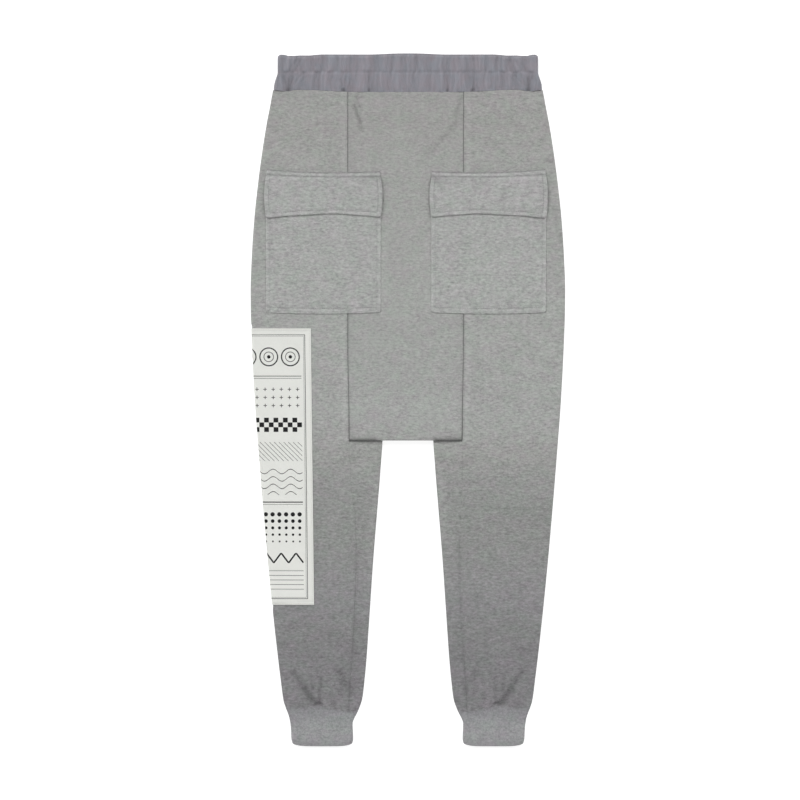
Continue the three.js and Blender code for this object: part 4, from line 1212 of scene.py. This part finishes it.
def printed_cotton():
    """Plain bands of rings, crosses, checks, hatching, waves, dots and zigzags inside a rule."""
    finish = begin_finish("printed_cotton")
    cut = Signal.of("ShaderNodeUVMap", {"uv_map": "cut"})
    s = Signal.of("ShaderNodeSeparateXYZ", values={0: cut}, output=0) * 1000
    t = Signal.of("ShaderNodeSeparateXYZ", values={0: cut}, output=1) * 1000
    length = PATCH_BOTTOM - PATCH_TOP

    def between(value, low, high):
        return (value > low) * (value < high)

    def inside(margin):
        return between(s, margin, PRINT_WIDTH - margin) * between(t, margin, length - margin)

    def stripe(low, high):
        return between(t, low, high) * between(s, PRINT_LEFT, PRINT_WIDTH - PRINT_LEFT)

    def either(*marks):
        found = marks[0]
        for mark in marks[1:]:
            found = found + mark - found * mark
        return found

    def distance(x, y):
        return Signal.of("ShaderNodeMath", {"operation": "SQRT"}, {0: x * x + y * y})

    rule = inside(PATCH_MARGIN) * (1 - inside(PATCH_MARGIN + 0.9))
    second_rule = inside(PATCH_MARGIN + 2.2) * (1 - inside(PATCH_MARGIN + 2.6))
    ring_place = distance((s - PRINT_LEFT) % 32 - 16, t - 42)
    rings = stripe(24, 60) * either(between(ring_place, 12.2, 14), between(ring_place, 6.6, 7.6),
                                    ring_place < 2.6)
    lines = stripe(70, 71) + stripe(73.5, 74.1)
    cross_s, cross_t = abs((s - PRINT_LEFT) % 12 - 6), abs((t - 84) % 12 - 6)
    crosses = stripe(84, 120) * either((cross_s < 0.5) * (cross_t < 2.6),
                                       (cross_t < 0.5) * (cross_s < 2.6))
    checks = stripe(132, 153) * abs(((s - PRINT_LEFT) % 14 < 7) - ((t - 132) % 14 < 7))
    hatching = stripe(168, 196) * ((s + t) % 7 < 0.9)
    wave = abs((t - 206 + (s * (2 * math.pi / 26)).sine() * 3.4) % 11 - 5.5)
    waves = stripe(206, 246) * (wave < 0.55)
    more_lines = stripe(256, 257.6) + stripe(260, 260.5)
    dot_size = 3.4 - (t - 270) * 0.045
    dots = stripe(270, 320) * (distance((s - PRINT_LEFT) % 10 - 5, (t - 270) % 10 - 5) < dot_size)
    zigzag = abs(abs((s - PRINT_LEFT) % 22 - 11) - (t - 332) * 0.75)
    zigzags = stripe(332, 347) * (zigzag < 1.5)
    bars = stripe(358, 392) * ((t - 358) % 6.8 < 0.7) * (s < 150 - (t - 358) * 1.6)
    ink = either(rule, second_rule, rings, lines, crosses, checks, hatching, waves, more_lines, dots,
                 zigzags, bars)
    worn = 1 - (grain(900, 900, 900, 3.0) > 0.62) * 0.35
    uneven = grain(350, 500, 350) * 0.03 + grain(40, 40, 40) * 0.025
    cloth = scaled(paint(236, 237, 232), (1 - painted_light_and_shade()) * (1 + uneven))
    colour = blended(cloth, (*paint(*INK), 1), ink * worn)
    weave = ((s * (2 * math.pi / 0.7)).sine() * (t * (2 * math.pi / 0.7)).sine()) * (1 - ink * 0.5)
    relief = weave + grain(500, 500, 500) * 0.5
    end_finish(colour, relief, deep=0.00012, roughness=0.8, sheen=0.1)
    return finish


printed = patch()
cotton = printed_cotton()
white_thread = thread_finish("white_thread", paint(216, 216, 210))


def patch_route():
    """The rows of stitches down the patch's edge, along its top and along its bottom."""
    side = -1
    first, last = PATCH_TOP + PATCH_HEM, PATCH_BOTTOM - PATCH_HEM
    edge = PATCH_TOP + np.linspace(PATCH_HEM, PATCH_BOTTOM - PATCH_TOP - PATCH_HEM, 160)
    rows = [(patch_back_edge(edge) + PATCH_HEM, edge)]
    for level in (first, last):
        centre = float(side_fold(side, level)[0])
        rows.append((np.linspace(patch_back_edge(level) + PATCH_HEM, centre, 60), np.full(60, level)))
    route = []
    for across, down in rows:
        up = back_height(side, across, down) + PATCH_LIFT + 0.1
        route.append(np.stack([side * across, LENGTH / 2 - down, up], -1))
    return route


PATCH_CUT = (158, 409)
patch_sewing = stitches("patch_stitches", patch_route(), white_thread)
laid(printed, cotton, "patch", "patch_cloth", *PATCH_CUT,
     ["back_leg_cloth_left", "front_leg_cloth_left"], with_pieces=[patch_sewing])


# The cuffs are doubled rings of a lighter fleece rib, sewn round the gathered ends of the legs.
# Their folded edge is the hem of the leg.

CUFF_CLOTH = 2.6
CUFF_HEIGHT = 7.7
CUFF_SEAM_THINNER = 0.08
CUFF_SEAM_ROUND = 12
CUFF_HEM_THINNER = 0.15
CUFF_HEM_ROUND = 7
CUFF_EASE = 16
CUFF_UNEVENNESS = 0.8
HEM_LIFT = 4.0
HEM_LIFT_FROM = 22
CUFF_TONES = [(966, (127, 127, 129)), (976, (136, 136.5, 138.5)), (985, (143.5, 144.5, 146)),
              (995, (147.5, 148.5, 149.5)), (1008, (149.5, 149.8, 151)), (1024, (149.5, 149.5, 151.5))]
cuff_fleece = fleece("cuff_fleece", CUFF_TONES, fleck=0.74, nap=0.8, streak=(290, 340))


def ring_places(left, right, height, top_columns, under_columns, top_at):
    """A flat ring's section: round its right fold, over its top, round its left fold, and back
    underneath."""
    radius = height / 2
    turn = np.linspace(-90, 90, 15)[None, NOT_LAST]
    right_fold = round_fold(right - radius, radius, radius, turn)
    left_fold = round_fold(left + radius, radius, radius, turn + 180)
    over = columns(right - radius, left + radius, top_columns + 1, NOT_LAST)
    back = columns(left + radius, right - radius, under_columns + 1, NOT_LAST)
    return side_by_side(right_fold, flat_strip(over, top_at(over), 1), left_fold, flat_strip(back, 0, -1))


def cuff(name, side):
    down = stations(CUFF_SEAM + STITCHED_GAP / 2, LENGTH, 1.6)[:, None]
    outer_edge, inner_edge = outline(SIDE_OUTLINE, down), outline(INSIDE_OUTLINE, down)
    at_seam = CUFF_SEAM_THINNER * (1 - rise(CUFF_SEAM, CUFF_SEAM + CUFF_SEAM_ROUND, down))
    at_hem = CUFF_HEM_THINNER * rise(LENGTH - CUFF_HEM_ROUND, LENGTH, down)
    height = CUFF_HEIGHT * (1 - at_seam - at_hem)

    def top_at(across):
        x = side * across
        eased = 1 - rise(CUFF_SEAM, CUFF_SEAM + CUFF_EASE, down)
        puckers = 0.35 * eased * np.sin(x / 1.9 + 1.6 * np.sin(x / 9 + 32))
        inside = rise(0, 6, np.minimum(across - inner_edge, outer_edge - across) - height / 2)
        return height + inside * (puckers + CUFF_UNEVENNESS * lie(x, down))

    places = ring_places(inner_edge, outer_edge, height, 52, 26, top_at)
    across = places[0]
    from_seam = down - CUFF_SEAM - STITCHED_GAP / 2
    sunk = np.maximum(rolled(from_seam, CUFF_SEAM_SUNK), rolled(LENGTH - down, 1.0))
    outer, inner = through(side, down, *places, thickness=CUFF_CLOTH, sunk=sunk)
    off_middle = 2 * (across - inner_edge) / (outer_edge - inner_edge) - 1
    lift = HEM_LIFT * np.abs(off_middle) ** 5 * rise(LENGTH - HEM_LIFT_FROM, LENGTH, down)
    outer[..., 1] += lift
    inner[..., 1] += lift
    # Painted shade where the cuff is drawn in at its seam and along the hem's fold, and darker patches in
    # waves just above the hem
    drawn_in_shade = 0.14 * line(across - DRAWN_IN_FROM_MIDDLE, 7) * line(from_seam, 1.2)
    drawn_in_shade = drawn_in_shade * (places[3] > FACES_UP)
    darker_waves_by_hem = (1 + np.sin(across / 4.1 + 1.2 * np.sin(across / 9))) * line(LENGTH - 8 - down, 7)
    shade = 0.12 * line(LENGTH - down, 0.8) + drawn_in_shade + 0.025 * darker_waves_by_hem
    return shell(name, outer, inner, ring=True, shade=shade)


CUFF_CUT = (215, 60)
for name, side in SIDES:
    ring = cuff("cuff_cloth_" + name, side)
    laid(ring, cuff_fleece, "cuff_" + name, "cuff_fleece", *CUFF_CUT, ["floor"])


# The waistband is smooth woven cloth doubled round two rows of elastic, which draw it up into fine
# gathers. A row of stitches parts the two channels, and its lower edge is sewn to the fleece.

BAND_CLOTH = 2.5
BAND_HEIGHT = 7.8
CHANNEL_STITCH = 28.5
CHANNEL_DEPTH = 0.8
PINCH_DEPTH = 1.8
BAND_EDGE_THINNER = 0.2
BAND_EDGE_ROUND = 5
BAND_SEAM_THINNER = 0.07
BAND_SEAM_ROUND = 9
# The band's outline: down, across
BAND_OUTLINE = np.array([(0, 190.3), (3, 192.7), (14, 192.9), (30, 193), (36, 194.8), (44, 197),
                         (50, 198.2), (58, 198.6)])
# How far the top edge dips below its line: from the middle, dip
TOP_EDGE = np.array([(0, 0.6), (22, 0.9), (40, 1.8), (58, 2.3), (125, 2.2), (136, 2.8), (147, 3.8),
                     (158, 3.7), (168, 4.2), (176, 4.3), (184, 2.6), (200, 2.3)])
# Where the band is drawn into the seam: across, how much its fold leans, half width, reach up
PINCHES = [(-177, 0.06, 3.6, 24), (-95, -0.22, 2.8, 10), (-57.5, 0.0, 1.7, 27), (58.5, 0.0, 1.7, 27),
           (95.6, 0.18, 2.8, 10), (178.4, -0.06, 3.6, 24)]
# Folds that fan out from them, alike on both sides of the middle
FAN_FOLDS = [
    (174, 50, 166, 32, 1.9, 0.75),
    (170, 50, 158, 33, 1.7, 0.5),
    (163, 51, 151, 36, 1.6, 0.35),
    (178.5, 51, 184.5, 36, 1.9, 0.75),
    (175, 27, 169, 13, 1.9, 0.7),
    (166, 26, 160, 11, 1.8, 0.6),
    (158, 25, 152, 9, 1.7, 0.5),
    (100.5, 40, 96.5, 50, 1.5, 0.8),
    (91.5, 37, 94.5, 50, 1.4, 0.5),
    (106, 39, 101, 52, 1.4, 0.4),
    (84, 40, 88.5, 53, 1.4, 0.4),
    (136, 20, 132, 6, 1.5, 0.5),
    (118, 24, 119, 4, 1.6, 0.6),
    (73, 24, 74, 3, 1.8, 0.6),
]
# Painted shade in the fan folds, the pinches and the stitched channel, and painted shade and light across the
# gathers
FAN_SHADE = 0.12
PINCH_SHADE = 0.46
CHANNEL_SHADE = 0.06
GATHER_SHADE = 0.1
WEAVE_PITCH = 0.0006


def band_pinch(x, down):
    """How near a point of the band is to where it is drawn into its seam."""
    pinch = np.zeros(np.broadcast(x, down).shape)
    up = WAIST_SEAM - down
    for at, lean, half, reach in PINCHES:
        fan = half * (1 - 0.45 * rise(0, 12, up))
        deep = mix(0.4, 1, 1 - rise(2, 7, up)) * (1 - rise(reach - 6, reach, up))
        pinch = np.maximum(pinch, deep * line(x - at - lean * up, fan))
    return pinch


def band_gathers(x, down):
    """Upright folds, uneven in place and depth, that change at the stitched channel and fan out
    from the places where the band is drawn into its seam."""
    lower = rise(CHANNEL_STITCH - 1, CHANNEL_STITCH + 1, down)
    up = WAIST_SEAM - down
    x = x + 2.6 * np.sin(x / 33 + 0.8) * down / WAIST_SEAM + 0.8 * np.sin(down / 7 + x / 12)
    spread = np.zeros(np.broadcast(x, down).shape)
    for at, lean, half, reach in PINCHES:
        off = x - at
        spread = spread + 0.55 * np.tanh(off / 6) * line(off, 22) * rise(0, 28, up) * (half > 2)
    fine_upper = np.sin(x / 1.25 + 2.2 * np.sin(x / 19) + 0.9 * np.sin(x / 6.1 + 2) + 0.012 * down)
    placed = x - 7 * spread
    fine_lower = np.sin(placed / 1.22 + 2.0 * np.sin(x / 15 + 1) + 1.1 * np.sin(x / 5.3))
    broad_upper = np.sin(x / 3.7 + 1.9 * np.sin(x / 21) + 0.02 * down)
    broad_lower = np.sin(placed / 3.9 + 1.5 * np.sin(x / 23) + 0.8)
    uneven = 0.55 + 0.45 * np.sin(x / 13 + 2.6 * np.sin(x / 37))
    fine = mix(fine_upper * 0.5, fine_lower * 0.38, lower) * uneven
    broad = mix(broad_upper * 0.75, broad_lower * 0.6, lower) * (1.1 - 0.4 * uneven)
    return (fine + broad) * rise(0, 6, down) * (1 - 0.5 * rise(WAIST_SEAM - 6, WAIST_SEAM, down))


def waistband():
    bottom = WAIST_SEAM - STITCHED_GAP / 2
    down = stations(0, bottom, 1.9)[:, None]
    half = outline(BAND_OUTLINE, down)
    at_edge = BAND_EDGE_THINNER * (1 - rise(0, BAND_EDGE_ROUND, down))
    at_seam = BAND_SEAM_THINNER * rise(WAIST_SEAM - BAND_SEAM_ROUND, WAIST_SEAM, down)
    height = BAND_HEIGHT * (1 - at_edge - at_seam)
    channel = CHANNEL_DEPTH * line(down - CHANNEL_STITCH, 1.2)

    def top_at(x):
        clear = rise(0, CLEAR_OF_FOLD, half - height / 2 - np.abs(x))
        folds = PINCH_DEPTH * band_pinch(x, down) + troughs(FAN_FOLDS, np.abs(x), down)
        return height + clear * (band_gathers(x, down) - channel - folds)

    places = ring_places(-half, half, height, 360, 60, top_at)
    sunk = rolled(down, 1.0) + rolled(bottom - down, 0.4)
    across, up, out_across, out_up = places
    dip = outline(TOP_EDGE, np.abs(across)) * (1 - rise(0, CHANNEL_STITCH, down))
    y = LENGTH / 2 - down - dip + waist_lift(across, down)
    outer = np.stack([across - sunk * out_across, y, up - sunk * out_up], -1)
    on_top = out_up == 1
    plain = np.where(on_top, height, up)
    inner = np.stack([across - BAND_CLOTH * out_across, y, plain - BAND_CLOTH * out_up], -1)
    # Painted shade where the band is drawn into its seam, along its stitched channel, in its fan folds and
    # the hollows of its gathers, painted light on their crests, and painted shade along its top edge and
    # upper part
    drawn_in_shade = PINCH_SHADE * band_pinch(across, down) + CHANNEL_SHADE * line(down - CHANNEL_STITCH, 1.4)
    fan_fold_shade = FAN_SHADE * troughs(FAN_FOLDS, np.abs(across), down)
    shade = on_top * (drawn_in_shade + fan_fold_shade - GATHER_SHADE * band_gathers(across, down))
    shade = shade + 0.26 * line(down, 2.0) + 0.06 * (1 - rise(2, 16, down))
    return shell("waistband_cloth", outer, inner, ring=True, shade=shade)


def band_cloth():
    finish = begin_finish("waistband_cloth")
    streaks = grain(240, 24, 120, 3.0, sway=0.006)
    wide_streaks = grain(80, 15, 60, sway=0.004)
    drift = grain(70, 55, 60) * 1.5 + 0.5
    base = tinged(paint(132, 130.5, 137), (1.04, 0.984, 1.0), (0.96, 1.014, 1.04), drift)
    # The streaks in the tone are painted shade and sheen along fine gathers
    tone = (1 - painted_light_and_shade()) * (1 + streaks * 0.3 + wide_streaks * 0.2)
    weave = (cloth_axis(0) * (2 * math.pi / WEAVE_PITCH)).sine()
    weave = weave * (cloth_axis(1) * (2 * math.pi / WEAVE_PITCH)).sine()
    relief = streaks * 1.2 + weave * 0.25
    end_finish(scaled(base, tone), relief, deep=0.0003, roughness=0.55, sheen=0.3, specular=0.5)
    return finish


BAND_CUT = (800, 62)
laid(waistband(), band_cloth(), "waistband", "waistband_cloth", *BAND_CUT, ["floor"], held="gathered")


# The garment lies on a plain pale surface, seen from straight above through a long lens, in soft
# light that comes mostly from beyond the waist.

FRAME_WIDTH = 1.1856
LENS = 100
SENSOR = 36
VIEW_X = -0.0117
VIEW_Y = -0.0006
FLOOR_REACH = 6.0
FLOOR_LEVEL = -0.0006
FLOOR_GLOW = 0.72
SKY_STRENGTH = 0.53
KEY_ANGLE = math.radians(32)
KEY_HEIGHT = 2.2

floor_mesh = bpy.data.meshes.new("floor")
corners = [(-1, -1), (1, -1), (1, 1), (-1, 1)]
floor_mesh.from_pydata([(x * FLOOR_REACH, y * FLOOR_REACH, FLOOR_LEVEL) for x, y in corners], [],
                       [(0, 1, 2, 3)])
floor = bpy.data.objects.new("floor", floor_mesh)
bpy.context.scene.collection.objects.link(floor)
pale = begin_finish("pale_floor")
floor_surface = Signal.of("ShaderNodeBsdfPrincipled", values={
    "Base Color": (0.55, 0.55, 0.55, 1), "Roughness": 0.9,
    "Emission Color": (1, 1, 1, 1), "Emission Strength": FLOOR_GLOW})
Signal.of("ShaderNodeOutputMaterial", values={"Surface": floor_surface})
floor_mesh.materials.append(pale)

world = bpy.data.worlds.new("studio")
world.use_nodes = True
world.node_tree.nodes["Background"].inputs[0].default_value = (1, 1, 1, 1)
world.node_tree.nodes["Background"].inputs[1].default_value = SKY_STRENGTH
bpy.context.scene.world = world


def soft_key(name, across, strength):
    data = bpy.data.lights.new(name, "SUN")
    data.energy = strength
    data.angle = KEY_ANGLE
    light = bpy.data.objects.new(name, data)
    light.location = (across, KEY_HEIGHT, KEY_HEIGHT)
    light.rotation_euler = (-light.location).to_track_quat("-Z", "Y").to_euler()
    bpy.context.scene.collection.objects.link(light)


soft_key("key_left", -1.6, 1.42)
soft_key("key_right", 1.3, 1.12)

camera_data = bpy.data.cameras.new("camera")
camera_data.lens = LENS
camera_data.sensor_width = SENSOR
camera = bpy.data.objects.new("camera", camera_data)
camera.location = (VIEW_X, VIEW_Y, FRAME_WIDTH * LENS / SENSOR)
bpy.context.scene.collection.objects.link(camera)
bpy.context.scene.camera = camera
bpy.context.scene.view_settings.view_transform = "Standard"
